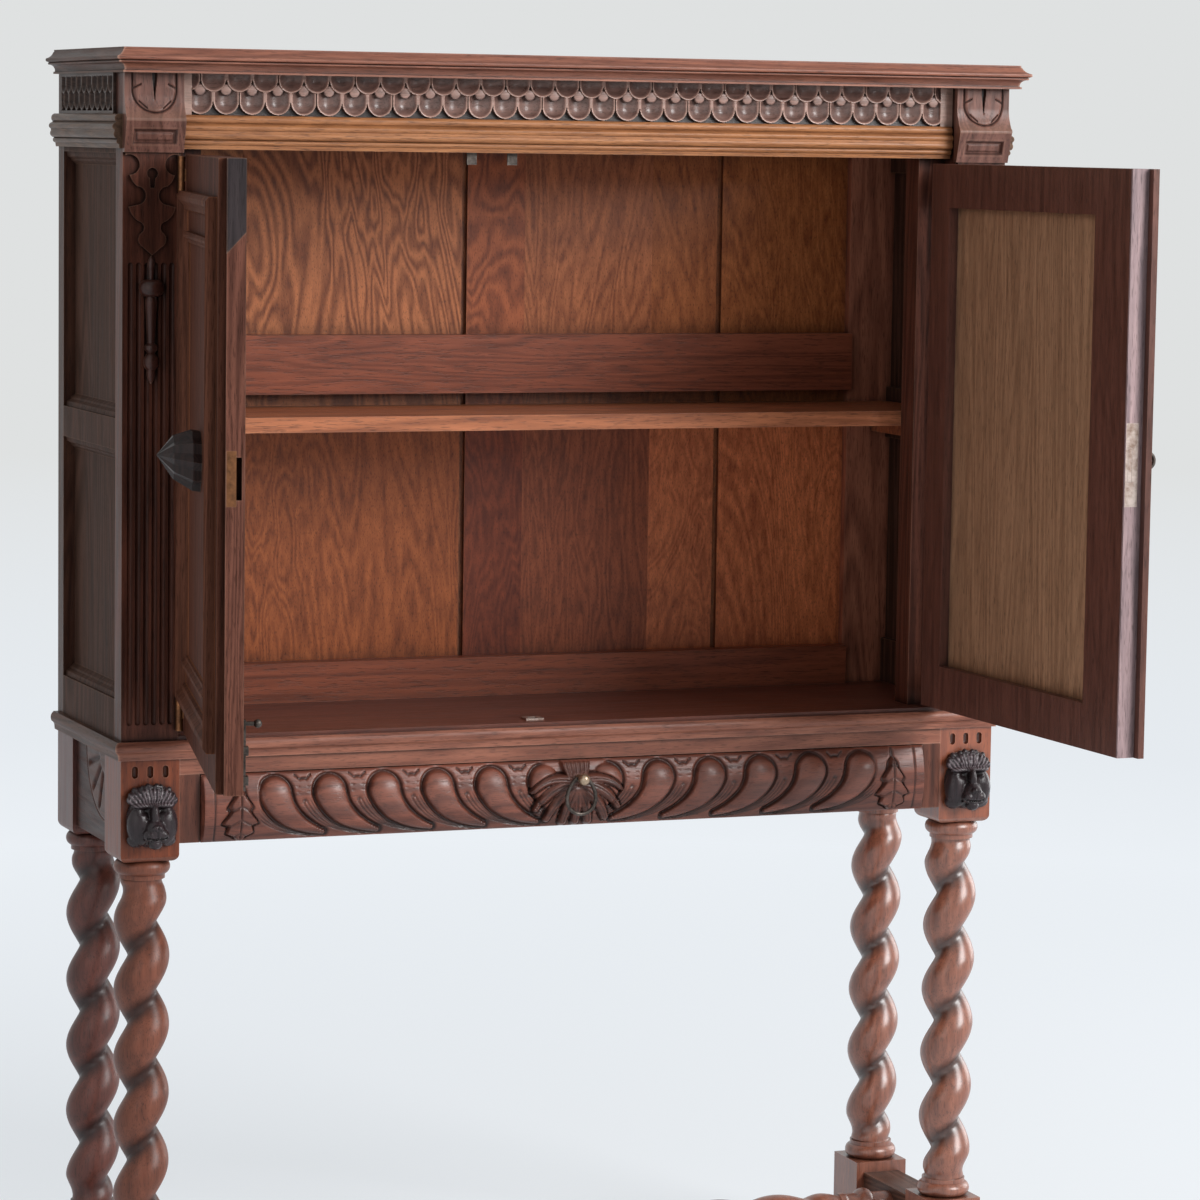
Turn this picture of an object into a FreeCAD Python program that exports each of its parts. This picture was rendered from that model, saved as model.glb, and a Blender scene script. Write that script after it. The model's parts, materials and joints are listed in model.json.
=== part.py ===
import FreeCAD
import Part
import math
import os
from FreeCAD import Vector

# A carved oak bookcase on a barley-twist stand, with its two doors standing open.
# All sizes are in millimetres. +X is right, +Y is back, +Z is up.
# The origin is on the floor, under the middle of the case.

# Case and stand
case_width = 1100.0
case_depth = 282.0
case_height = 775.5
foot_height = 45.0
low_block_height = 72.0
turned_height = 471.0
leg_block_height = 118.5
leg_width = 69.0

# Front posts with their door stops
post_width = 67.0
post_depth = 28.0
stop_width = 33.0
stop_depth = 35.0
stop_gap = 3.0
flute_count = 6
flute_pitch = 9.6
flute_radius = 3.4
flute_depth = 2.4
flute_foot = 18.0
flute_head = 8.0
fret_height = 115.0
fret_width = 62.0
fret_relief = 4.0
spindle_length = 145.0
spindle_radius = 14.5

# Rear posts, rails, panels and back
rear_post_width = 84.0
rear_post_depth = 24.0
side_thickness = 30.0
side_bottom_rail = 81.5
side_mid_rail = 64.0
side_mid_height = 337.5
side_top_rail = 58.0
panel_thickness = 10.0
panel_setback = 14.0
rail_moulding = 14.0
back_board_thickness = 12.0
back_rail_thickness = 24.0
back_lap = 10.0
board_gap = 7.0
board_joint_left = -46.0
board_joint_right = 292.0
back_mid_rise = 15.0
back_mid_rail = 71.0
back_bottom_rail = 48.0

# Shelf and floor
shelf_height = 365.5
shelf_thickness = 18.0
cleat_size = 20.0
floor_thickness = 26.0

# Top of the case
top_thickness = 20.0
top_forward = 20.0
cornice_height = 28.0
cornice_reach = 16.0
cornice_seat = 14.0
frieze_height = 46.0
frieze_setback = 14.0
scale_pitch = 31.0
scale_drop = 19.0
scale_relief = 5.0
scale_step = 2.5
frieze_end_strip = 14.0
necking_height = 38.5
necking_reach = 12.0
console_drop = 4.0
sunk_block_height = 35.0
sunk_border = 9.0
sunk_depth = 3.5
console_head = 7.0
console_foot = 17.0
leaf_width = 48.0
leaf_relief = 1.5
leaf_groove = 3.2
waist_height = 21.5
waist_reach = 9.0

# Stand
apron_thickness = 22.0
apron_drop = 106.5
apron_setback = 5.0
fascia_height = 18.5
drawer_stile_width = 24.0
ring_radius = 32.5
ring_height = 17.0
neck_radius = 24.0
collar_height = 5.0
collar_radius = 26.5
twist_radius = 32.0
groove_radius = 16.0
groove_round = 0.18
twist_pitch = 80.0
twist_fade = 34.0
twist_turns = (-91.0, 171.0, 32.0, -10.0)
block_round = 9.0
gouge_radius = 4.0
gouge_length = 15.0
gouge_depth = 6.0
gouge_pitch = 18.0
gouge_drop = 14.0
foot_radius = 34.0
foot_flat = 22.0
foot_neck = 24.0
stretcher_width = 48.0
stretcher_height = 45.0
stretcher_radius = 22.0
stretcher_groove = 14.0
stretcher_neck = 16.0
stretcher_collar = 17.5
stretcher_end = 70.0
mask_width = 58.0
mask_height = 72.0
mask_depth = 26.0
mask_level = 56.0

# Drawer and its pull
drawer_gap = 1.0
drawer_height = 78.0
drawer_bulge = 13.0
drawer_edge = 3.0
drawer_back_room = 15.0
drawer_side_gap = 4.0
drawer_side_thickness = 12.0
drawer_side_drop = 8.0
drawer_side_lower = 6.0
drawer_bottom_thickness = 8.0
drawer_bottom_rise = 6.0
drawer_groove = 5.0
runner_width = 40.0
runner_seat = 20.0
runner_thickness = 12.0
runner_gap = 0.3
gadroon_count = 6
gadroon_first = 40.0
gadroon_pitch = 66.0
gadroon_sweep = 46.0
gadroon_head = 17.0
gadroon_tail = 6.0
gadroon_relief = 6.0
gadroon_margin = 7.0
cartouche_width = 116.0
cartouche_neck = 40.0
cartouche_relief = 8.0
cartouche_rise = 10.0
cartouche_margin = 1.0
end_leaf_width = 44.0
end_leaf_relief = 5.0
end_leaf_place = 418.0
end_leaf_margin = 3.0
stud_radius = 7.0
stud_neck = 4.4
stud_reach = 16.0
stud_shank = 3.0
stud_drop = 19.0
eye_radius = 2.6
pull_wire = 2.2
pull_width = 36.0
pull_drop = 42.0

# Doors
door_gap = 1.0
door_bottom_gap = 5.0
door_top_gap = 6.0
door_thickness = 28.0
lip_thickness = 8.0
lip_width = 10.0
lip_gap = 0.6
hinge_stile = 46.0
lock_stile = 82.0
door_rail = 52.0
panel_sink = 12.0
door_panel_thickness = 10.0
panel_tongue = 8.0
moulding_width = 22.0
moulding_height = 12.0
moulding_margin_side = 17.0
moulding_margin_end = 40.0
inner_frame_width = 13.0
inner_frame_height = 8.0
inner_frame_inset = 44.0
boss_radius = 34.0
boss_valley = 29.0
boss_reach = 47.0
boss_rise = 7.0
boss_ridges = 10
patch_length = 97.0
patch_slope = 22.0
patch_depth = 4.0
left_open_angle = 102.2
right_open_angle = 91.2

# Hinges
hinge_height = 42.0
hinge_inset = 2.0
hinge_leaf = 22.0
leaf_thickness = 2.0
knuckle_radius = 4.5
knuckle_gap = 0.3
knuckle_standoff = 0.4
hinge_pin_radius = 2.2
pin_clearance = 0.06

# Lock, key and strike plate
lock_height = 327.5
lock_plate_height = 93.0
lock_plate_width = 15.6
lock_plate_margin = 0.6
lock_plate_thickness = 2.0
lock_case_depth = 70.0
lock_case_height = 74.0
lock_case_thickness = 11.0
lock_wall = 2.0
bolt_head_height = 38.0
bolt_head_length = 12.0
bolt_tail_height = 7.0
lock_bolt_thickness = 4.6
key_backset = 56.0
key_radius = 2.8
key_clearance = 0.3
key_bit_reach = 9.0
key_bit_thickness = 4.0
key_reach = 43.0
key_bow_radius = 11.0
key_bow_wire = 2.2
strike_height = 57.0
strike_width = 10.0
strike_margin = 1.0
strike_thickness = 2.0
mortise_height = 44.0
mortise_width = 5.7
mortise_depth = 14.0

# Sliding bolt on the left door, its keeper, and the tabs that stop the doors
slide_gap = 0.3
bolt_length = 74.0
bolt_width = 8.0
bolt_thickness = 5.0
bolt_inset = 40.0
bolt_throw = 14.0
bolt_knob_radius = 4.5
bolt_knob_reach = 17.0
staple_wall = 2.5
staple_ear = 5.0
staple_height = 9.0
staple_low = 6.0
staple_high = 37.0
keeper_thickness = 2.0
keeper_border = 7.0
keeper_clearance = 1.5
tab_width = 12.0
tab_thickness = 2.0
tab_height = 14.0
tab_drop = 8.0
tab_place = 99.0
tab_spacing = 50.0

# Levels and planes that follow from the sizes above
front = -case_depth / 2
back = case_depth / 2
side = case_width / 2
low_block_top = foot_height + low_block_height
leg_block_bottom = low_block_top + turned_height
stand_top = leg_block_bottom + leg_block_height
case_top = stand_top + case_height
top_board_top = case_top + top_thickness
floor_top = stand_top + floor_thickness
top_front = front - top_forward
frieze_face = front + frieze_setback
frieze_bottom = case_top - frieze_height
necking_bottom = frieze_bottom - necking_height
console_bottom = necking_bottom - console_drop
fret_bottom = console_bottom - fret_height
post_inner = side - post_width
stop_inner = post_inner - stop_width
stop_front = front + door_thickness + stop_gap
stop_back = stop_front + stop_depth
side_inner = side - side_thickness
rear_front = back - rear_post_depth
rear_inner = side - rear_post_width
board_front = back - back_board_thickness
rail_front = board_front - back_rail_thickness
leg_inner = side - leg_width
leg_back = front + leg_width
leg_x = side - leg_width / 2
leg_y = -front - leg_width / 2
mid_rail_bottom = stand_top + side_mid_height
mid_rail_top = mid_rail_bottom + side_mid_rail
top_rail_bottom = frieze_bottom - side_top_rail
shelf_bottom = stand_top + shelf_height
shelf_top = shelf_bottom + shelf_thickness
back_mid_bottom = shelf_top + back_mid_rise
drawer_top = stand_top - fascia_height - drawer_gap
drawer_bottom = drawer_top - drawer_height
drawer_half = leg_inner - drawer_stile_width - drawer_gap
drawer_face_back = front + apron_thickness
apron_back = back - apron_setback
apron_inner = apron_back - apron_thickness
door_low = floor_top + door_bottom_gap
door_high = necking_bottom - door_top_gap
door_edge = post_inner - door_gap
meeting = -lip_gap / 2
door_back = front + door_thickness
hinge_axis_y = front - knuckle_radius - knuckle_standoff
hinge_levels = (door_low + hinge_inset, door_high - hinge_inset - hinge_height)
lock_z = door_low + lock_height
strike_y = front + lip_thickness + strike_margin
mortise_y = strike_y + strike_width + mortise_width / 2
bolt_x = meeting - bolt_inset
bolt_y = door_back + slide_gap

up = Vector(0, 0, 1)
outwards = Vector(0, -1, 0)
shapes = {}


def box(x0, x1, y0, y1, z0, z1):
    return Part.makeBox(x1 - x0, y1 - y0, z1 - z0, Vector(x0, y0, z0))


def outline(place, start, *steps):
    """A closed face: a step is the end point of a line, or the middle and end points of an arc."""
    edges = []
    here = start
    for step in list(steps) + [start]:
        if isinstance(step[0], tuple):
            middle, end = step
            edges.append(Part.Arc(place(*here), place(*middle), place(*end)).toShape())
        else:
            end = step
            if (place(*end) - place(*here)).Length > 1e-6:
                edges.append(Part.makeLine(place(*here), place(*end)))
        here = end
    return Part.Face(Part.Wire(edges))


def plan(corners, z0, z1):
    face = outline(lambda x, y: Vector(x, y, z0), *corners)
    return face.extrude(Vector(0, 0, z1 - z0))


def on_front(corners, reach):
    """An outline in X and Z on the front plane, extruded forwards by its reach."""
    face = outline(lambda x, z: Vector(x, front, z), *corners)
    return face.extrude(outwards * reach)


def turned(profile, base, direction):
    """A solid of revolution: profile points are radius and distance along the axis."""
    axis = Vector(direction).normalize()
    across = axis.cross(Vector(1, 0, 0)) if abs(axis.x) < 0.9 else axis.cross(up)
    across.normalize()
    face = outline(lambda r, h: base + across * r + axis * h, *profile)
    return face.revolve(base, axis, 360)


def rod(base, direction, radius, length):
    return Part.makeCylinder(radius, length, base, direction)


def capsule(x, y, z0, z1, radius):
    """A round-ended upright cutter whose ends reach z0 and z1."""
    half_round = radius * math.sqrt(0.5)
    profile = [
        (0, z0), ((half_round, z0 + radius - half_round), (radius, z0 + radius)),
        (radius, z1 - radius), ((half_round, z1 - radius + half_round), (0, z1)),
    ]
    return turned(profile, Vector(x, y, 0), up)


def both_sides(shape):
    return [shape, shape.mirror(Vector(), Vector(1, 0, 0))]


def fuse(first, *others):
    return first.multiFuse(list(others)).removeSplitter()


def single(shape):
    if len(shape.Solids) != 1:
        raise ValueError("one solid was expected, but there are %d" % len(shape.Solids))
    return shape.Solids[0]


def closed_solid(faces):
    shell = Part.makeShell(faces)
    shell.sewShape()
    solid = Part.makeSolid(shell)
    if solid.Volume < 0:
        solid.reverse()
    return solid


# Mouldings that run round the case: a section is drawn as reach outwards and height.
def front_run(section, half_length, plane):
    face = outline(lambda o, z: Vector(-half_length, plane - o, z), *section)
    return face.extrude(Vector(2 * half_length, 0, 0))


def side_run(section, y0, y1):
    face = outline(lambda o, z: Vector(-side - o, y0, z), *section)
    return face.extrude(Vector(0, y1 - y0, 0))


def mitre_front(section, reach, plane):
    near = plane - 2 * reach
    far = side + 2 * reach
    corners = [(-side + reach, plane + reach), (-far, near), (far, near), (side - reach, plane + reach)]
    return single(front_run(section, far, plane).common(plan(corners, 0, 2 * case_top)))


def mitre_side(section, reach, plane):
    near = plane - 2 * reach
    far = side + 2 * reach
    inner = -side + reach
    corners = [(inner, plane + reach), (-far, near), (-far, 2 * back), (inner, 2 * back)]
    return single(side_run(section, near, back).common(plan(corners, 0, 2 * case_top)))


def cornice_section():
    z = case_top
    h = cornice_height
    r = cornice_reach
    return [
        (0, z), (r * 0.42, z), (r * 0.42, z + h * 0.08), (r * 0.3, z + h * 0.1),
        ((r * 0.38, z + h * 0.28), (r * 0.66, z + h * 0.38)), (r * 0.74, z + h * 0.38),
        ((r * 0.82, z + h * 0.43), (r * 0.74, z + h * 0.48)), (r * 0.88, z + h * 0.5), (r * 0.97, z + h * 0.52),
        ((r, z + h * 0.58), (r * 0.97, z + h * 0.64)), ((r * 0.62, z + h * 0.74), (r * 0.42, z + h * 0.9)),
        (r * 0.36, z + h * 0.93), (r * 0.36, z + h), (-cornice_seat, z + h), (-cornice_seat, top_board_top),
        (0, top_board_top),
    ]


def necking_section():
    z = necking_bottom
    h = necking_height
    r = necking_reach
    return [
        (0, z), (r * 0.3, z), (r * 0.35, z + h * 0.12),
        ((r * 0.6, z + h * 0.2), (r * 0.45, z + h * 0.28)),
        ((r * 0.85, z + h * 0.36), (r * 0.8, z + h * 0.48)), (r * 0.8, z + h * 0.54),
        ((r, z + h * 0.63), (r * 0.8, z + h * 0.72)), (r * 0.6, z + h * 0.76),
        ((r * 0.75, z + h * 0.9), (r * 0.4, z + h)), (0, z + h),
    ]


def waist_section():
    z = stand_top
    h = waist_height
    r = waist_reach
    return [
        (0, z), (r * 0.45, z), (r * 0.5, z + h * 0.2),
        ((r * 0.65, z + h * 0.38), (r * 0.85, z + h * 0.45)),
        ((r, z + h * 0.66), (r * 0.85, z + h * 0.88)), (r * 0.6, z + h), (0, z + h),
    ]


def make_top():
    shapes["top_board"] = box(-side, side, top_front, back, case_top, top_board_top)
    shapes["cornice_front"] = mitre_front(cornice_section(), cornice_reach, top_front)
    cornice_side = mitre_side(cornice_section(), cornice_reach, top_front)
    shapes["cornice_sides"] = Part.makeCompound(both_sides(cornice_side))
    shapes["necking_front"] = front_run(necking_section(), leg_inner, frieze_face)
    necking_side = side_run(necking_section(), front, back)
    shapes["necking_sides"] = Part.makeCompound(both_sides(necking_side))


# Overlapping scales: each row is a strip with a scalloped lower edge, the lower row half a scale along.
def scale_row(place, start, end, top, drop, stagger):
    count = int((end - start) / scale_pitch) - stagger
    left = (start + end - count * scale_pitch) / 2
    right = left + count * scale_pitch
    base = top - drop + scale_pitch * 0.46
    steps = [(right, top), (right, base)]
    for index in range(count):
        end_x = right - (index + 1) * scale_pitch
        steps.append(((end_x + scale_pitch / 2, top - drop), (end_x, base)))
    return outline(place, (left, top), *steps)


def scales(place, start, end, direction):
    upper = scale_row(place, start, end, case_top, scale_drop, 0)
    lower = scale_row(place, start, end, case_top, frieze_height - scale_step, 1)
    return [upper.extrude(direction * scale_relief), lower.extrude(direction * scale_step)]


def make_friezes():
    board = box(-post_inner, post_inner, frieze_face, stop_front, necking_bottom, case_top)
    span = leg_inner - frieze_end_strip
    rows = scales(lambda x, z: Vector(x, frieze_face, z), -span, span, outwards)
    shapes["frieze_front"] = single(fuse(board, *rows))
    y0 = front + post_depth
    board = box(-side, -side_inner, y0, rear_front, frieze_bottom, case_top)
    rows = scales(lambda y, z: Vector(-side, y, z), y0, rear_front, Vector(-1, 0, 0))
    shapes["frieze_sides"] = Part.makeCompound(both_sides(single(fuse(board, *rows))))


# Consoles on the post heads: a leaf on a block that flares at its foot, above a leaning block with a sunk panel.
def make_consoles():
    split = console_bottom + sunk_block_height
    rise = case_top - split
    head = console_head
    foot = console_foot
    lean = (foot - head) / sunk_block_height

    def block(points, x0, x1):
        face = outline(lambda o, z: Vector(x0, front - o, z), *points)
        return face.extrude(Vector(x1 - x0, 0, 0))

    low = console_bottom + sunk_border
    high = split - sunk_border
    floor_low = head + lean * sunk_border - sunk_depth
    floor_high = foot - lean * sunk_border - sunk_depth
    sunk = block([(0, console_bottom), (head, console_bottom), (foot, split), (0, split)], -side, -leg_inner)
    pocket = block([(floor_low, low), (2 * foot, low), (2 * foot, high), (floor_high, high)],
                   -side + sunk_border, -leg_inner - sunk_border)

    def scroll(extra):
        return block([(0, split), (foot + extra, split), (foot + extra, split + rise * 0.06),
                      ((head + foot * 0.12 + extra, split + rise * 0.22), (head + extra, split + rise * 0.5)),
                      (head + extra, case_top), (0, case_top)], -side, -leg_inner)

    half = leaf_width / 2
    tip = split + rise * 0.16
    shoulder = tip + half * 0.8
    leaf_outline = [(-leg_x - half, case_top), (-leg_x - half, shoulder),
                    ((-leg_x, tip), (-leg_x + half, shoulder)), (-leg_x + half, case_top)]
    leaf = scroll(leaf_relief).common(on_front(leaf_outline, 2 * foot))
    groove = box(-leg_x - leaf_groove / 2, -leg_x + leaf_groove / 2, front - 2 * foot,
                 front - head * 0.6, shoulder, case_top)
    console = fuse(sunk.cut(pocket), scroll(0), leaf).cut(groove)
    shapes["consoles"] = Part.makeCompound(both_sides(single(console)))


# A strapwork fret: a pierced plate, widest at the top, with bites in its edges and a point below.
def fret(middle, z1):
    half = fret_width / 2

    def place(across, down):
        return Vector(middle + across * half, front, z1 - down * fret_height)

    half_plate = outline(
        place, (0, 0), (1, 0), (1, 0.03), ((0.48, 0.12), (0.84, 0.22)), ((0.74, 0.28), (0.56, 0.33)),
        ((0.24, 0.42), (0.56, 0.51)), (0.87, 0.53), ((0.72, 0.62), (0.42, 0.68)), ((0.31, 0.73), (0.4, 0.78)),
        ((0.52, 0.85), (0.35, 0.92)), (0, 1),
    ).extrude(outwards * fret_relief)
    other_half = half_plate.mirror(Vector(middle, 0, 0), Vector(1, 0, 0))
    keyhole = outline(place, (-0.08, 0.345), (-0.1, 0.25), ((0, 0.15), (0.1, 0.25)), (0.08, 0.345))
    return single(fuse(half_plate, other_half).cut(keyhole.extrude(outwards * fret_relief)))


def make_front_posts():
    corners = [
        (-side, front), (-post_inner, front), (-post_inner, stop_front), (-stop_inner, stop_front),
        (-stop_inner, stop_back), (-side_inner, stop_back), (-side_inner, front + post_depth),
        (-side, front + post_depth),
    ]
    post = plan(corners, stand_top, case_top)
    middle = -side + post_width / 2
    flute_bottom = stand_top + waist_height + flute_foot
    flute_top = fret_bottom - flute_head
    cutters = []
    for index in range(flute_count):
        x = middle + (index - (flute_count - 1) / 2) * flute_pitch
        cutters.append(capsule(x, front - flute_radius + flute_depth, flute_bottom, flute_top, flute_radius))
    post = fuse(post.cut(Part.makeCompound(cutters)), fret(middle, console_bottom))
    pockets = leaf_blanks(-post_inner - leaf_thickness)
    left = single(post.cut(Part.makeCompound(pockets)))
    shapes["front_post_left"] = left
    shapes["front_post_right"] = left.mirror(Vector(), Vector(1, 0, 0))

    # Half of a turned spindle, glued over the flutes below the fret.
    r = spindle_radius
    h = spindle_length
    profile = [
        (0, 0), (r * 0.16, -h * 0.02), ((r * 0.3, -h * 0.07), (r * 0.22, -h * 0.12)), (r * 0.2, -h * 0.19),
        ((r * 0.75, -h * 0.2), (r, -h * 0.26)), ((r * 0.85, -h * 0.3), (r * 0.42, -h * 0.32)),
        (r * 0.5, -h * 0.36), (r * 0.3, -h * 0.68), (r * 0.52, -h * 0.7), (r * 0.52, -h * 0.73),
        (r * 0.3, -h * 0.76), ((r * 0.62, -h * 0.82), (r * 0.34, -h * 0.89)), ((r * 0.3, -h * 0.95), (0, -h)),
    ]
    whole = turned(profile, Vector(middle, front, fret_bottom), up)
    near = box(middle - 2 * r, middle + 2 * r, front - 2 * r, front, fret_bottom - 2 * h, fret_bottom + h)
    shapes["split_spindles"] = Part.makeCompound(both_sides(single(whole.common(near))))


def make_carcase():
    rear = box(-side, -rear_inner, rear_front, back, stand_top, case_top)
    shapes["rear_post_left"] = rear
    shapes["rear_post_right"] = rear.mirror(Vector(), Vector(1, 0, 0))
    y0 = front + post_depth
    rails = []
    panels = []
    bottom_rail_top = stand_top + side_bottom_rail

    # Rails are moulded where they meet a panel: points are depth behind the outer face and height from the panel.
    d = panel_setback
    w = rail_moulding
    moulded = [(0, w), (d * 0.22, w), (d * 0.3, w * 0.6), (d * 0.6, w * 0.42), (d * 0.66, w * 0.26), (d, 0)]
    rail_levels = [(stand_top, bottom_rail_top, False, True), (mid_rail_bottom, mid_rail_top, True, True),
                   (top_rail_bottom, frieze_bottom, True, False)]
    for z0, z1, low, high in rail_levels:
        low_edge = [(o, z0 + rise) for o, rise in reversed(moulded)] if low else [(0, z0)]
        high_edge = [(o, z1 - rise) for o, rise in moulded] if high else [(0, z1)]
        corners = low_edge + high_edge + [(side_thickness, z1), (side_thickness, z0)]
        face = outline(lambda o, z: Vector(-side + o, y0, z), *corners)
        rails += both_sides(face.extrude(Vector(0, rear_front - y0, 0)))
    outer = -side + d
    for z0, z1 in ((bottom_rail_top, mid_rail_bottom), (mid_rail_top, top_rail_bottom)):
        panels += both_sides(box(outer, outer + panel_thickness, y0, rear_front, z0, z1))
    shapes["side_rails"] = Part.makeCompound(rails)
    shapes["side_panels"] = Part.makeCompound(panels)

    # Back boards with half-lapped joints that show as dark gaps on the inside.
    edges = [-rear_inner, board_joint_left, board_joint_right, rear_inner]
    half = (board_front + back) / 2
    boards = []
    for index in range(3):
        x0 = edges[index] + (board_gap / 2 if index > 0 else 0)
        x1 = edges[index + 1] - (board_gap / 2 if index < 2 else 0)
        board = box(x0, x1, board_front, back, stand_top, case_top)
        if index > 0:
            board = board.cut(box(x0, x0 + back_lap, half, back, stand_top, case_top))
        if index < 2:
            board = fuse(board, box(x1, x1 + board_gap + back_lap, half, back, stand_top, case_top))
        boards.append(single(board))
    shapes["back_boards"] = Part.makeCompound(boards)
    levels = (
        (floor_top, floor_top + back_bottom_rail), (back_mid_bottom, back_mid_bottom + back_mid_rail),
        (necking_bottom, case_top),
    )
    rails = [box(-rear_inner, rear_inner, rail_front, board_front, z0, z1) for z0, z1 in levels]
    shapes["back_rails"] = Part.makeCompound(rails)

    # Floor and shelf, notched round the posts.
    right_half = [
        (post_inner, front), (post_inner, stop_front), (stop_inner, stop_front), (stop_inner, stop_back),
        (side_inner, stop_back), (side_inner, rear_front), (rear_inner, rear_front), (rear_inner, board_front),
    ]
    left_half = [(-x, y) for x, y in reversed(right_half)]
    floor_board = plan(right_half + left_half, stand_top, floor_top)
    shapes["case_floor"] = single(floor_board.cut(bolt_hole(floor_top)))
    right_half = right_half[4:]
    left_half = [(-x, y) for x, y in reversed(right_half)]
    shapes["shelf"] = plan(right_half + left_half, shelf_bottom, shelf_top)
    cleat = box(-side_inner, -side_inner + cleat_size, stop_back, rear_front,
                shelf_bottom - cleat_size, shelf_bottom)
    shapes["shelf_cleats"] = Part.makeCompound(both_sides(cleat))


def make_stand_rails():
    shapes["waist_moulding_front"] = mitre_front(waist_section(), waist_reach, front)
    waist_side = mitre_side(waist_section(), waist_reach, front)
    shapes["waist_moulding_sides"] = Part.makeCompound(both_sides(waist_side))
    fascia_bottom = stand_top - fascia_height
    shapes["fascia_rail"] = box(-leg_inner, leg_inner, front, drawer_face_back, fascia_bottom, stand_top)
    stile = box(-leg_inner, -leg_inner + drawer_stile_width, front, drawer_face_back,
                drawer_bottom, fascia_bottom)
    shapes["drawer_stiles"] = Part.makeCompound(both_sides(stile))
    apron_bottom = stand_top - apron_drop
    outer = -side + apron_setback
    apron = box(outer, outer + apron_thickness, leg_back, -leg_back, apron_bottom, stand_top)
    shapes["side_aprons"] = Part.makeCompound(both_sides(apron))
    shapes["back_apron"] = box(-leg_inner, leg_inner, apron_inner, apron_back, apron_bottom, stand_top)
    runner_top = drawer_bottom + drawer_side_drop - runner_gap
    runner_inner = drawer_half - runner_width
    runner = box(-leg_inner - runner_seat, -runner_inner, leg_back, -leg_back,
                 runner_top - runner_thickness, runner_top)
    shapes["drawer_runners"] = Part.makeCompound(both_sides(runner))


# A single-start barley twist along +Z: a helical groove beside one round ridge, fading into plain necks.
def twist(z0, z1, crest, groove, neck, start):
    around = 20
    rows = int((z1 - z0) / twist_pitch * 8)
    full = math.hypot(1, groove_round) - groove_round
    grid = []
    for row in range(rows + 1):
        z = z0 + (z1 - z0) * row / rows
        fade = min(1.0, (z - z0) / twist_fade, (z1 - z) / twist_fade)
        blend = fade * fade * (3 - 2 * fade)
        turn = 2 * math.pi * (z - z0) / twist_pitch + math.radians(start)
        ring = []
        for step in range(around + 1):
            phase = -math.pi + 2 * math.pi * step / around
            swell = (math.hypot(math.cos(phase / 2), groove_round) - groove_round) / full
            ridge = groove + (crest - groove) * swell
            radius = neck + (ridge - neck) * blend
            ring.append(Vector(radius * math.cos(phase + turn), radius * math.sin(phase + turn), z))
        grid.append(ring)
    surface = Part.BSplineSurface()
    surface.interpolate(grid)
    u0, u1, v0, v1 = surface.bounds()
    faces = []
    for low, high in ((v0, (v0 + v1) / 2), ((v0 + v1) / 2, v1)):
        patch = surface.copy()
        patch.segment(u0, u1, low, high)
        faces.append(patch.toShape())
    caps = []
    for z in (z0, z1):
        edges = [e for f in faces for e in f.Edges
                 if abs(e.BoundBox.ZMin - z) + abs(e.BoundBox.ZMax - z) < 0.01]
        caps.append(Part.Face(Part.Wire(Part.sortEdges(edges)[0])))
    return closed_solid(faces + caps)


def bead(z0, z1):
    middle = (z0 + z1) / 2
    profile = [(0, z0), (collar_radius, z0), ((ring_radius, middle), (collar_radius, z1)), (0, z1)]
    return turned(profile, Vector(), up)


def make_leg(start):
    half = leg_width / 2
    block = box(-half, half, -half, half, leg_block_bottom, stand_top)
    low_edges = [e for e in block.Edges if e.BoundBox.ZMax < leg_block_bottom + 1]
    block = block.makeFillet(block_round, low_edges)
    low_block = box(-half, half, -half, half, foot_height, low_block_top)
    foot = turned(
        [(0, 0), (foot_flat, 0), ((foot_radius, foot_height * 0.45), (foot_neck, foot_height * 0.88)),
         (foot_neck, foot_height), (0, foot_height)],
        Vector(), up,
    )
    ring_bottom = leg_block_bottom - ring_height
    low_ring_top = low_block_top + ring_height
    shaft_bottom = low_ring_top + collar_height
    shaft_top = ring_bottom - collar_height
    collars = [rod(Vector(0, 0, z), up, collar_radius, collar_height) for z in (low_ring_top, shaft_top)]
    shaft = twist(shaft_bottom, shaft_top, twist_radius, groove_radius, neck_radius, start)
    low_bead = bead(low_block_top, low_ring_top)
    top_bead = bead(ring_bottom, leg_block_bottom)
    return single(fuse(foot, low_block, low_bead, *collars, shaft, top_bead, block))


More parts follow.
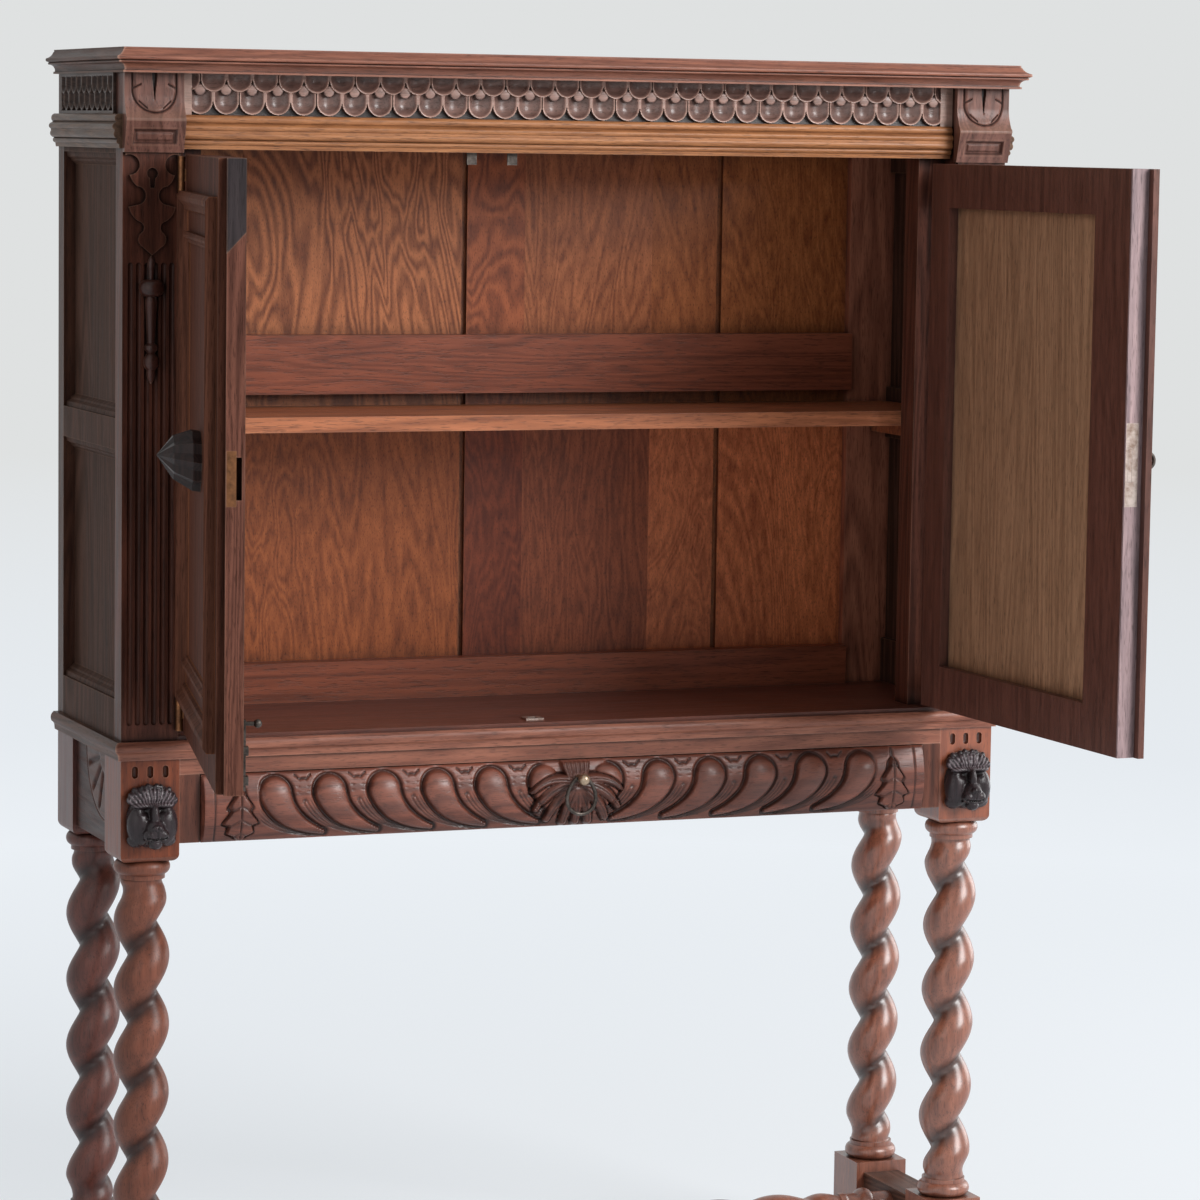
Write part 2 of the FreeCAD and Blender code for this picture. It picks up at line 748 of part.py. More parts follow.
def make_legs():
    places = (("front_leg_left", -leg_x, -leg_y), ("front_leg_right", leg_x, -leg_y),
              ("rear_leg_left", -leg_x, leg_y), ("rear_leg_right", leg_x, leg_y))
    for (name, x, y), start in zip(places, twist_turns):
        placed = make_leg(start)
        placed.translate(Vector(x, y, 0))
        if y < 0:
            top = stand_top - gouge_drop + gouge_length / 2
            gouge_y = front - gouge_radius + gouge_depth
            cutters = [capsule(x + offset, gouge_y, top - gouge_length, top, gouge_radius)
                       for offset in (-gouge_pitch, 0, gouge_pitch)]
            placed = placed.cut(Part.makeCompound(cutters))
        shapes[name] = single(placed)

    # Side stretchers between the lower blocks, with a twisted bar across from one to the other.
    level = foot_height + low_block_height / 2
    low = level - stretcher_height / 2
    high = level + stretcher_height / 2
    outer = -leg_x - stretcher_width / 2
    inner = leg_x - stretcher_width / 2
    rail = box(outer, -inner, leg_back, -leg_back, low, high)
    shapes["side_stretchers"] = Part.makeCompound(both_sides(rail))
    e = stretcher_end
    n = stretcher_neck
    c = stretcher_collar
    profile = [(0, 0), (n, 0), (n, e * 0.35), ((stretcher_radius, e * 0.5), (n, e * 0.65)),
               (n, e * 0.85), (c, e * 0.9), (c, e), (0, e)]
    ends = [turned(profile, Vector(0, 0, -inner), up), turned(profile, Vector(0, 0, inner), -up)]
    shaft = twist(-inner + e, inner - e, stretcher_radius, stretcher_groove, n, 0)
    bar = single(fuse(ends[0], shaft, ends[1]))
    bar.rotate(Vector(), Vector(0, 1, 0), 90)
    bar.translate(Vector(0, 0, level))
    shapes["twist_stretcher"] = bar


# A lion mask built from rounded masses: face, cheeks, muzzle, nose, brows, chin and a cap of mane tufts.
def make_masks():
    z = leg_block_bottom + mask_level
    w = mask_width / 2
    h = mask_height / 2

    def ball(across, out, along, radius):
        middle = Vector(-leg_x + across * w, front - out * mask_depth, z + along * h)
        return Part.makeSphere(w * radius, middle)

    masses = [
        ball(0, 0.05, 0.05, 0.78), ball(0, 0.4, -0.42, 0.44), ball(-0.25, 0.55, -0.34, 0.28),
        ball(0.25, 0.55, -0.34, 0.28), ball(0, 0.72, -0.12, 0.22), ball(-0.34, 0.46, 0.26, 0.26),
        ball(0.34, 0.46, 0.26, 0.26), ball(0, 0.36, -0.76, 0.27), ball(-0.6, 0.08, -0.3, 0.42),
        ball(0.6, 0.08, -0.3, 0.42), ball(-0.62, 0.08, 0.2, 0.4), ball(0.62, 0.08, 0.2, 0.4),
    ]
    for across in (-0.68, -0.4, -0.13, 0.14, 0.41, 0.69):
        masses.append(ball(across, 0.26, 0.62 + 0.1 * math.cos(across * 2), 0.29))
    head = fuse(*masses)
    near = box(-leg_x - 2 * w, -leg_x + 2 * w, front - 2 * mask_depth, front, z - 2 * h, z + 2 * h)
    shapes["lion_masks"] = Part.makeCompound(both_sides(single(head.common(near))))


# A tapered drop with round ends, from a large head to a small tail.
def drop(head, head_radius, tail, tail_radius):
    axis = tail - head
    length = axis.Length
    slope = (head_radius - tail_radius) / length
    lean = math.asin(slope)

    def on_ball(start, radius, angle):
        return (radius * math.cos(angle), start + radius * math.sin(angle))

    profile = [
        (0, -head_radius), (on_ball(0, head_radius, (lean - math.pi / 2) / 2), on_ball(0, head_radius, lean)),
        on_ball(length, tail_radius, lean),
        (on_ball(length, tail_radius, (lean + math.pi / 2) / 2), (0, length + tail_radius)),
    ]
    return turned(profile, head, axis)


# A ball that shows on a flat face as a dome of the given half-width and relief.
def dome(half_width, relief):
    radius = (half_width * half_width + relief * relief) / (2 * relief)
    return radius, radius - relief


def make_drawer_front():
    z0 = drawer_bottom
    z1 = drawer_top
    middle = (z0 + z1) / 2

    def bulge(extra):
        face = outline(
            lambda o, z: Vector(-drawer_half, front - o, z),
            (-apron_thickness, z0), (drawer_edge + extra, z0),
            ((drawer_bulge + extra, middle), (drawer_edge + extra, z1)), (-apron_thickness, z1),
        )
        return face.extrude(Vector(2 * drawer_half, 0, 0))

    lobes = []
    proud = box(-drawer_half, drawer_half, front - 4 * drawer_bulge, front, z0, z1)
    head_radius, head_sink = dome(gadroon_head, gadroon_relief)
    tail_radius, tail_sink = dome(gadroon_tail, gadroon_relief * 0.6)
    for index in range(gadroon_count):
        for sign in (-1, 1):
            head_x = gadroon_first + index * gadroon_pitch
            head = Vector(sign * head_x, front - drawer_bulge * 0.72 + head_sink,
                          z1 - gadroon_margin - gadroon_head)
            tail = Vector(sign * (head_x - gadroon_sweep), front - drawer_bulge * 0.5 + tail_sink,
                          z0 + gadroon_margin + gadroon_tail)
            lobes.append(single(drop(head, head_radius, tail, tail_radius).common(proud)))

    # The cartouche behind the pull, and an upright leaf at each end.
    half = cartouche_width / 2
    neck = cartouche_neck / 2
    low = z0 + cartouche_margin
    high = z1 - cartouche_margin
    shoulder = middle + cartouche_rise
    waist = middle - cartouche_rise / 2
    cartouche = on_front(
        [(-half, low), (half, low), ((half * 0.72, waist), (neck, shoulder)), (neck, high),
         (-neck, high), (-neck, shoulder), ((-half * 0.72, waist), (-half, low))],
        3 * drawer_bulge,
    ).common(bulge(cartouche_relief))
    leaf_half = end_leaf_width / 2
    leaves = []
    for sign in (-1, 1):
        x = sign * end_leaf_place
        foot = (x, z0 + end_leaf_margin)
        tip = (x, z1 - end_leaf_margin)
        leaf = on_front([foot, ((x + leaf_half, middle), tip), ((x - leaf_half, middle), foot)],
                        3 * drawer_bulge)
        leaves.append(leaf.common(bulge(end_leaf_relief)))
    piece = fuse(bulge(0), *lobes, cartouche, *leaves)
    stud_z = drawer_top - stud_drop
    hole = rod(Vector(0, drawer_face_back, stud_z), outwards, stud_shank, 6 * drawer_bulge)
    shapes["drawer_front"] = single(piece.cut(hole))


def make_drawer_box():
    t = drawer_side_thickness
    box_back = apron_inner - drawer_back_room
    low = drawer_bottom + drawer_side_drop
    high = drawer_top - drawer_side_lower
    outer = drawer_half - drawer_side_gap
    inner = outer - t
    bottom_low = low + drawer_bottom_rise
    bottom_high = bottom_low + drawer_bottom_thickness
    bottom = box(-inner - drawer_groove, inner + drawer_groove, drawer_face_back, box_back,
                 bottom_low, bottom_high)
    side_board = single(box(-outer, -inner, drawer_face_back, box_back, low, high).cut(bottom))
    shapes["drawer_sides"] = Part.makeCompound(both_sides(side_board))
    shapes["drawer_back"] = box(-inner, inner, box_back - t, box_back, bottom_high, high)
    shapes["drawer_bottom"] = bottom


# Ball stud with an eye through its neck, and the heart-shaped drop that hangs in the eye.
def make_pull():
    z = drawer_top - stud_drop
    face_y = front - drawer_bulge - cartouche_relief
    eye = Vector(0, face_y - stud_reach / 2, z)
    shank = rod(Vector(0, drawer_face_back, z), outwards, stud_shank, drawer_face_back - face_y)
    neck = rod(Vector(0, face_y, z), outwards, stud_neck, stud_reach)
    ball = Part.makeSphere(stud_radius, Vector(0, face_y - stud_reach, z))
    drill = rod(eye - Vector(stud_radius, 0, 0), Vector(1, 0, 0), eye_radius, 2 * stud_radius)
    shapes["pull_stud"] = single(fuse(shank, neck, ball).cut(drill))

    # The loop is a half circle below and two arcs that run up from it, without a corner, to a bar in the eye.
    half = pull_width / 2
    span = stud_neck + pull_wire
    drop_centre = pull_drop - half
    narrowing = half - span
    arc_radius = (narrowing * narrowing + drop_centre * drop_centre) / (2 * narrowing)
    half_angle = math.asin(drop_centre / arc_radius) / 2
    arc_x = half - arc_radius + arc_radius * math.cos(half_angle)
    arc_z = drop_centre - arc_radius * math.sin(half_angle)

    def at(x, depth):
        return Vector(x, eye.y, eye.z - depth)

    loop = Part.Wire([
        Part.Arc(at(span, 0), at(arc_x, arc_z), at(half, drop_centre)).toShape(),
        Part.Arc(at(half, drop_centre), at(0, pull_drop), at(-half, drop_centre)).toShape(),
        Part.Arc(at(-half, drop_centre), at(-arc_x, arc_z), at(-span, 0)).toShape(),
    ])
    first = loop.Edges[0]
    ring = Part.Wire(Part.makeCircle(pull_wire, at(span, 0), first.tangentAt(first.FirstParameter)))
    sweep = loop.makePipeShell([ring], True, True)
    bar = rod(at(-span, 0), Vector(1, 0, 0), pull_wire, 2 * span)
    corners = [Part.makeSphere(pull_wire * 1.15, at(x, 0)) for x in (-span, span)]
    runs = [sweep, bar] + corners
    shapes["pull_ring"] = single(fuse(*runs))
    print("pull axis", round(eye.y, 3), round(eye.z, 3))


# Hinges are drawn on the left side: a leaf let into the post and one let into the door's edge.
def leaf_blanks(x):
    return [box(x, x + leaf_thickness, front - knuckle_standoff, front + hinge_leaf, z, z + hinge_height)
            for z in hinge_levels]


def make_hinges():
    fixed = []
    moving = []
    third = hinge_height / 3
    edge = -door_edge
    for z in hinge_levels:
        axis = Vector(-post_inner, hinge_axis_y, z)
        top = z + hinge_height
        leaf_low = hinge_axis_y + hinge_pin_radius
        blank = box(-post_inner - leaf_thickness, -post_inner, leaf_low, front + hinge_leaf, z, top)
        slot = box(-post_inner - knuckle_radius, -post_inner, leaf_low, front - knuckle_standoff / 4,
                   z + third, top - third)
        knuckles = [rod(axis + up * level, up, knuckle_radius, third) for level in (0, 2 * third)]
        pin = rod(axis, up, hinge_pin_radius, hinge_height)
        fixed += both_sides(single(fuse(blank.cut(slot), *knuckles, pin)))
        low = z + third + knuckle_gap
        high = top - third - knuckle_gap
        leaf = box(edge, edge + leaf_thickness, front, front + hinge_leaf, z, top)
        web = box(edge, edge + leaf_thickness, hinge_axis_y, front + leaf_thickness, low, high)
        knuckle = rod(axis + up * (low - z), up, knuckle_radius, high - low)
        bore = rod(axis, up, hinge_pin_radius + pin_clearance, hinge_height)
        moving.append(single(fuse(leaf, web, knuckle).cut(bore)))
    shapes["hinge_post_leaves"] = Part.makeCompound(fixed)
    return moving


# A mitred moulding round a rectangle on a door's face, with an ogee section that falls inwards.
def frame_moulding(x0, x1, z0, z1, width, height):
    section = ((0, 0), (0, 0.7), (0.22, 1), (0.45, 0.92), (0.7, 0.45), (0.9, 0.38), (1, 0))
    rings = []
    for across, rise in section:
        inset = across * width
        y = front - rise * height
        corners = [Vector(x0 + inset, y, z0 + inset), Vector(x1 - inset, y, z0 + inset),
                   Vector(x1 - inset, y, z1 - inset), Vector(x0 + inset, y, z1 - inset)]
        rings.append(Part.makePolygon(corners + corners[:1]))
    faces = []
    for first, second in zip(rings, rings[1:] + rings[:1]):
        for a, b in zip(first.Edges, second.Edges):
            faces.append(Part.makeRuledSurface(a, b))
    return closed_solid(faces)


# A boss with ridges and valleys that run to a point a little above its middle.
def pointed_boss(x, z):
    count = 2 * boss_ridges
    tip = Vector(x, front - boss_reach, z + boss_rise)

    def ring(share, out):
        points = []
        for index in range(count):
            angle = 2 * math.pi * index / count
            radius = share * (boss_valley if index % 2 else boss_radius)
            points.append(Vector(x + radius * math.cos(angle), front - out * boss_reach,
                                 z + out * boss_rise + radius * math.sin(angle)))
        return points

    rings = [ring(1, 0), ring(1, 0.2), ring(0.72, 0.62)]
    faces = [Part.Face(Part.makePolygon(rings[0] + rings[0][:1]))]
    for near, far in zip(rings, rings[1:]):
        for index in range(count):
            after = (index + 1) % count
            for corners in ((near[index], near[after], far[after]), (near[index], far[after], far[index])):
                faces.append(Part.Face(Part.makePolygon(list(corners) + [corners[0]])))
    for index in range(count):
        a = rings[2][index]
        b = rings[2][(index + 1) % count]
        faces.append(Part.Face(Part.makePolygon([a, b, tip, a])))
    return closed_solid(faces)


# A door is drawn shut, as the left one. The right one is its mirror image, apart from the meeting edge.
def door_pieces(lipped):
    x0 = -door_edge
    x1 = meeting
    inner0 = x0 + hinge_stile
    inner1 = x1 - lock_stile
    rail_low = door_low + door_rail
    rail_high = door_high - door_rail
    stile = box(x0, inner0, front, door_back, door_low, door_high)
    lock_side = box(inner1, x1, front, door_back, door_low, door_high)
    if lipped:
        lip = box(x1, x1 + lip_width, front, front + lip_thickness - lip_gap, door_low, door_high)
        lock_side = fuse(lock_side, lip)
    else:
        rebate = box(x1 - lip_width - lip_gap, x1, front, front + lip_thickness, door_low, door_high)
        lock_side = lock_side.cut(rebate)
    rails = [box(inner0, inner1, front, door_back, door_low, rail_low),
             box(inner0, inner1, front, door_back, rail_high, door_high)]
    panel_back = door_back - panel_sink
    panel_front = panel_back - door_panel_thickness
    t = panel_tongue
    tongue = box(inner0 - t, inner1 + t, panel_front, panel_back, rail_low - t, rail_high + t)
    field = box(inner0, inner1, front, panel_back, rail_low, rail_high)
    panel = single(fuse(tongue, field))
    pockets = Part.makeCompound(leaf_blanks(x0))
    frame = [single(stile.cut(tongue).cut(pockets)), single(lock_side.cut(tongue))]
    frame += [single(rail.cut(tongue)) for rail in rails]

    # Two applied mouldings, one inside the other, with a pointed boss in the middle.
    m0 = x0 + moulding_margin_side
    m1 = x1 - moulding_margin_side - lip_width
    n0 = door_low + moulding_margin_end
    n1 = door_high - moulding_margin_end
    i = inner_frame_inset
    outer = frame_moulding(m0, m1, n0, n1, moulding_width, moulding_height)
    inner = frame_moulding(m0 + i, m1 - i, n0 + i, n1 - i, inner_frame_width, inner_frame_height)
    boss = pointed_boss((m0 + m1) / 2, (n0 + n1) / 2)
    return frame, panel, Part.makeCompound([outer, inner]), boss


# Both doors stand open at rest, each at its own angle.
def swing(shape, left):
    piece = shape.copy() if left else shape.mirror(Vector(), Vector(1, 0, 0))
    angle = -left_open_angle if left else right_open_angle
    x = -post_inner if left else post_inner
    piece.rotate(Vector(x, hinge_axis_y, 0), up, angle)
    return piece


def make_left_door(hinge_leaves):
    frame, panel, mouldings, boss = door_pieces(False)

    # Strike plate on the meeting edge, with the mortise for the lock's bolt beside it.
    strike = box(meeting - strike_thickness, meeting, strike_y, strike_y + strike_width,
                 lock_z - strike_height / 2, lock_z + strike_height / 2)
    mortise = box(meeting - mortise_depth, meeting, mortise_y - mortise_width / 2,
                  mortise_y + mortise_width / 2, lock_z - mortise_height / 2, lock_z + mortise_height / 2)

    # A repair let into the top of the same edge, with a slanting lower end.
    patch_low = door_high - patch_length
    patch_face = outline(
        lambda y, z: Vector(meeting - patch_depth, y, z),
        (front + lip_thickness, patch_low), (door_back, patch_low + patch_slope),
        (door_back, door_high), (front + lip_thickness, door_high),
    )
    patch = patch_face.extrude(Vector(patch_depth, 0, 0))
    frame[1] = single(frame[1].cut(Part.makeCompound([strike, mortise, patch])))

    # Sliding bolt in two staples, at the bottom of the meeting stile.
    half = bolt_width / 2
    bar = box(bolt_x - half, bolt_x + half, bolt_y, bolt_y + bolt_thickness, door_low, door_low + bolt_length)
    r = bolt_knob_radius
    h = bolt_knob_reach
    knob_place = Vector(bolt_x, bolt_y + bolt_thickness, door_low + bolt_length - half)
    stem = rod(knob_place, Vector(0, 1, 0), r / 2, h - r)
    knob = fuse(stem, Part.makeSphere(r, knob_place + Vector(0, h - r, 0)))
    wall = half + slide_gap + staple_wall
    staples = []
    for level in (staple_low, staple_high):
        z0 = door_low + level
        z1 = z0 + staple_height
        slot_back = bolt_y + bolt_thickness + slide_gap
        bridge = box(bolt_x - wall, bolt_x + wall, door_back, slot_back + staple_wall, z0, z1)
        ears = box(bolt_x - wall - staple_ear, bolt_x + wall + staple_ear, door_back,
                   door_back + staple_wall, z0, z1)
        slot = box(bolt_x - half - slide_gap, bolt_x + half + slide_gap, door_back, slot_back, z0, z1)
        staples.append(single(fuse(bridge, ears).cut(slot)))
    pieces = {
        "left_door_frame": Part.makeCompound(frame),
        "left_door_panel": panel,
        "left_door_mouldings": mouldings,
        "left_door_boss": boss,
        "left_hinge_leaves": Part.makeCompound(hinge_leaves),
        "edge_patch": patch,
        "strike_plate": strike,
        "bolt_staples": Part.makeCompound(staples),
        "floor_bolt": single(fuse(bar, knob)),
    }
    for name, shape in pieces.items():
        shapes[name] = swing(shape, True)


def make_right_door(hinge_leaves):
    frame, panel, mouldings, boss = door_pieces(True)
    half = lock_case_thickness / 2
    inside = mortise_y + half - lock_wall
    key_x = meeting - key_backset
    key_place = Vector(key_x, 0, lock_z)
    plate_y = door_back - lock_plate_margin - lock_plate_width
    plate = box(meeting - lock_plate_thickness, meeting, plate_y, plate_y + lock_plate_width,
                lock_z - lock_plate_height / 2, lock_z + lock_plate_height / 2)
    case = box(meeting - lock_case_depth, meeting - lock_plate_thickness, mortise_y - half, mortise_y + half,
               lock_z - lock_case_height / 2, lock_z + lock_case_height / 2)
    body = fuse(plate, case)
    frame[1] = single(frame[1].cut(body))
    through = rod(key_place + Vector(0, mortise_y, 0), outwards, key_radius + key_clearance, door_thickness)
    frame[1] = single(frame[1].cut(through))

    # The bolt has a tall head that comes out through the plate and a slim tail above the key.
    t = lock_bolt_thickness / 2
    tail_high = lock_z + bolt_head_height / 2
    tail_low = tail_high - bolt_tail_height
    tail_end = meeting - lock_case_depth + lock_wall + slide_gap
    head_low = lock_z - bolt_head_height / 2
    head = box(meeting - bolt_head_length, meeting, mortise_y - t, mortise_y + t, head_low, tail_high)
    tail = box(tail_end, meeting, mortise_y - t, mortise_y + t, tail_low, tail_high)
    g = slide_gap
    head_room = box(meeting - bolt_head_length - g, meeting, mortise_y - t - g, mortise_y + t + g,
                    head_low - g, tail_high + g)
    tail_room = box(tail_end - g, meeting, mortise_y - t - g, mortise_y + t + g, tail_low - g, tail_high + g)
    ward = rod(key_place + Vector(0, inside, 0), outwards, key_bit_reach + key_clearance,
               lock_case_thickness - 2 * lock_wall)
    lock = body.cut(Part.makeCompound([head_room])).cut(tail_room).cut(ward).cut(through)
    shapes_right = {
        "right_door_frame": Part.makeCompound(frame),
        "right_door_panel": panel,
        "right_door_mouldings": mouldings,
        "right_door_boss": boss,
        "right_hinge_leaves": Part.makeCompound(hinge_leaves),
        "lock": single(lock),
        "lock_bolt": single(fuse(head, tail)),
    }

    # Key: a shank, a bit that turns inside the lock, and an oval bow in front of the door.
    tip = inside - key_clearance
    bow_y = front - key_reach + key_bow_radius
    shank_length = tip - bow_y - key_bow_radius + key_bow_wire
    shank = rod(key_place + Vector(0, tip, 0), outwards, key_radius, shank_length)
    bit_front = mortise_y - half + lock_wall + key_clearance
    bit = box(key_x - key_bit_thickness / 2, key_x + key_bit_thickness / 2, bit_front, tip,
              lock_z - key_bit_reach, lock_z)
    bow = Part.makeTorus(key_bow_radius - key_bow_wire, key_bow_wire, key_place + Vector(0, bow_y, 0),
                         Vector(1, 0, 0))
    shapes_right["door_key"] = single(fuse(shank, bit, bow))
    for name, shape in shapes_right.items():
        shapes[name] = swing(shape, False)
    print("key axis when shut", round(-key_x, 3), round(lock_z, 3))


# The hole that the left door's bolt drops into when the door is shut.
def bolt_hole(top):
    half = bolt_width / 2 + keeper_clearance
    return box(bolt_x - half, bolt_x + half, bolt_y - keeper_clearance,
               bolt_y + bolt_thickness + keeper_clearance, floor_top - bolt_throw, top)


def make_keepers():
    half = bolt_width / 2 + keeper_border
    keeper_top = floor_top + keeper_thickness
    plate = box(bolt_x - half, bolt_x + half, bolt_y - keeper_border, bolt_y + bolt_thickness + keeper_border,
                floor_top, keeper_top)
    shapes["bolt_keeper"] = single(plate.cut(bolt_hole(keeper_top)))
    tabs = []
    tab_y = door_back + stop_gap
    for x in (-tab_place - tab_spacing / 2, -tab_place + tab_spacing / 2):
        x0 = x - tab_width / 2
        x1 = x + tab_width / 2
        tabs.append(box(x0, x1, tab_y, tab_y + tab_thickness, door_high - tab_drop, necking_bottom + tab_height))
    shapes["door_stop_tabs"] = Part.makeCompound(tabs)


def main():
    make_top()
    make_friezes()
    make_consoles()
    make_front_posts()
    make_carcase()
    make_stand_rails()
    make_legs()
    make_masks()
    make_drawer_front()
    make_drawer_box()
    make_pull()
    leaves = make_hinges()
    make_left_door(leaves)
    make_right_door(leaves)
    make_keepers()
    os.makedirs("parts", exist_ok=True)
    for name, shape in shapes.items():
        shape.exportStep("parts/" + name + ".step")
        print(name, len(shape.Solids), round(shape.Volume), shape.isValid())
    print("hinge axes", post_inner, hinge_axis_y, "nodes", len(shapes))


main()
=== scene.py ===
import bpy
import json
import math
import numpy as np
from mathutils import Matrix, Vector


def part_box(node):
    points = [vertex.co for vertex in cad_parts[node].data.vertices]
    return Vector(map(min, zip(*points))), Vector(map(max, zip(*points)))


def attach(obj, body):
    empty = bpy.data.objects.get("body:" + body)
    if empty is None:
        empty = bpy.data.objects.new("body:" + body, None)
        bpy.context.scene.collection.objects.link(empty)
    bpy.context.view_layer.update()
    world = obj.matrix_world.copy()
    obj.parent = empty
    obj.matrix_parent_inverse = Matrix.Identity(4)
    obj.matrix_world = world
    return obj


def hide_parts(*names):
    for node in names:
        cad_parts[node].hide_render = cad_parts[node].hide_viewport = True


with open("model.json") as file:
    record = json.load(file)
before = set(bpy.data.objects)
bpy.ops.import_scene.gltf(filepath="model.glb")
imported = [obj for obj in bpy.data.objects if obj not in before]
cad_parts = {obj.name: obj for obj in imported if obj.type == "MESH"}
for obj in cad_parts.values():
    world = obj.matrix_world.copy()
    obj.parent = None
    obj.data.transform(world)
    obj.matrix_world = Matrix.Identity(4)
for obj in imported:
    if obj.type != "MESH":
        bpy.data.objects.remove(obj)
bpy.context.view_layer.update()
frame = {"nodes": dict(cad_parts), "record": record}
nodes = frame["nodes"]
print("frame loaded,", len(nodes), "nodes")


def screenColour(red, green, blue):
    # a colour as seen on screen, 0 to 255, turned into the shader's linear light
    def lin(value):
        value = value / 255
        return value / 12.92 if value <= 0.04045 else ((value + 0.055) / 1.055) ** 2.4
    return (lin(red), lin(green), lin(blue), 1)


def grey(level):
    return (level, level, level, 1)


def startFinish(name):
    finish = bpy.data.materials.new(name)
    finish.use_nodes = True
    tree = finish.node_tree
    tree.nodes.clear()
    out = tree.nodes.new("ShaderNodeOutputMaterial")
    shader = tree.nodes.new("ShaderNodeBsdfPrincipled")
    tree.links.new(shader.outputs["BSDF"], out.inputs["Surface"])
    return finish, tree, shader


def addNode(tree, kind, inputs, **settings):
    # settings are the node's own options; inputs hold a value, or a socket to link from
    node = tree.nodes.new(kind)
    for key, value in settings.items():
        setattr(node, key, value)
    for key, value in inputs.items():
        if isinstance(value, bpy.types.NodeSocket):
            tree.links.new(value, node.inputs[key])
        else:
            node.inputs[key].default_value = value
    return node


def addRamp(tree, source, stops, change="LINEAR"):
    ramp = addNode(tree, "ShaderNodeValToRGB", {"Fac": source})
    ramp.color_ramp.interpolation = change
    marks = ramp.color_ramp.elements
    for number, (place, colour) in enumerate(stops):
        mark = marks[number] if number < 2 else marks.new(place)
        mark.position = place
        mark.color = colour
    return ramp.outputs["Color"]


def addMath(tree, operation, first, second):
    return addNode(tree, "ShaderNodeMath", {0: first, 1: second}, operation=operation).outputs[0]


def addVector(tree, operation, first, *second):
    # one step of vector arithmetic, which gives a number for a dot product or a length
    node = addNode(tree, "ShaderNodeVectorMath", dict(enumerate((first, *second))), operation=operation)
    return node.outputs["Value" if operation in ("DOT_PRODUCT", "LENGTH") else "Vector"]


def addMix(tree, factor, first, second, how="MIX"):
    inputs = {0: factor, 6: first, 7: second}
    return addNode(tree, "ShaderNodeMix", inputs, data_type="RGBA", blend_type=how).outputs[2]


def addBlend(tree, factor, first, second):
    return addNode(tree, "ShaderNodeMix", {0: factor, 2: first, 3: second}).outputs[0]


def addRange(tree, source, low, high, start, end):
    # the source's run from low to high becomes a run from start to end
    return addNode(tree, "ShaderNodeMapRange", {0: source, 1: low, 2: high, 3: start, 4: end}).outputs[0]


def addNoise(tree, place, scale, detail, **inputs):
    inputs = {"Vector": place, "Scale": scale, "Detail": detail, **inputs}
    return addNode(tree, "ShaderNodeTexNoise", inputs).outputs["Fac"]


def addRecess(tree, reach, low, high, level=1, inside=False):
    # marks the recesses of a shape, or its arrises where inside is true
    cover = addNode(tree, "ShaderNodeAmbientOcclusion", {"Distance": reach}, samples=6, inside=inside)
    return addRamp(tree, cover.outputs["AO"], [(low, grey(level)), (high, grey(0))])


def addBump(tree, shader, strength, depth, height):
    bump = addNode(tree, "ShaderNodeBump", {"Strength": strength, "Distance": depth, "Height": height})
    tree.links.new(bump.outputs["Normal"], shader.inputs["Normal"])


# oak: grain runs along one axis, fine fibres and pores along it, old polish and painted shade darken the
# recesses, worn pale arrises
oakLook = {
    "stretch": 14, "figure": 9, "warp": 0.9, "rings": 120, "figureShare": 0.25,
    "fibre": 150, "fibreRough": 0.62, "fibreWarp": 0.3, "fibreShare": 0.72, "darkAt": 0.28, "lightAt": 0.68,
    "pore": 900, "poreFrom": 0.34, "poreTo": 0.44, "poreDark": 0.45, "poreDepth": 0.8,
    "recessPolishAndShade": 0.6, "recessReach": 0.012, "recessFrom": 0.25, "recessTo": 0.85,
    "wear": 0.35, "wearAndHighlightTint": (190, 150, 125), "wearReach": 0.0022, "wearFrom": 0.30, "wearTo": 0.72,
    "wearBase": 0.35, "tonePale": 0.55, "toneDark": 0.85,
    "roughness": 0.38, "smoother": 0.07, "rougher": 0.10, "specular": 0.30, "coat": 0.06,
    "coatRoughness": 0.25, "bump": 0.25, "bumpDepth": 0.0006,
}
# dark colours mixed in: old polish in the pores, old polish with painted shade in the recesses, painted shade
# in the hollows of the twists and in the cuts of carved pieces
polishAndShade = {"pores": (0.01, 0.006, 0.004, 1), "recesses": (0.006, 0.0035, 0.003, 1),
             "twists": (0.012, 0.006, 0.006, 1), "carving": (0.008, 0.005, 0.005, 1)}


def readZones(tree, place, zones, share):
    # zones along one direction: each has its own tint, and its grain hops to another part of the pattern
    parts = addNode(tree, "ShaderNodeSeparateXYZ", {"Vector": place}).outputs
    low, high = zones["low"], zones["high"]
    where = addRange(tree, addVector(tree, "DOT_PRODUCT", place, zones["along"]), low, high, 0, 1)
    starts = [(start - low) / (high - low) for start, _ in zones["tints"]]

    def stepped(colours):
        return addRamp(tree, where, list(zip(starts, colours)), "CONSTANT")

    tint = stepped([screenColour(*colour) for _, colour in zones["tints"]])
    hop = stepped([grey(7 * number % 5 / 5) for number in range(len(starts))])
    if "below" in zones:
        # some boards show a wavy figure above a height, and their inner face has other tints below it
        under = addMath(tree, "LESS_THAN", parts["Z"], zones["plainBelow"])
        within = addMath(tree, "LESS_THAN", parts["Y"], zones["outside"])
        lower = stepped([screenColour(*colour) for colour in zones["below"]])
        tint = addMix(tree, addMath(tree, "MULTIPLY", under, within), tint, lower)
        plain = addMath(tree, "MULTIPLY", under, share)
        share = addMath(tree, "MAXIMUM", stepped([grey(part) for part in zones["shares"]]), plain)
    return addVector(tree, "ADD", place, hop), tint, share


def twistShadeMark(tree, place, hollows):
    # painted shade darkens the hollow of a twisted leg, close to the leg's own axis
    apart = addVector(tree, "SUBTRACT", addVector(tree, "ABSOLUTE", place), (*hollows["axis"], 0))
    apart = addVector(tree, "LENGTH", addVector(tree, "MULTIPLY", apart, (1, 1, 0)))
    return addRange(tree, apart, hollows["deep"], hollows["clear"], hollows["dark"], 0)


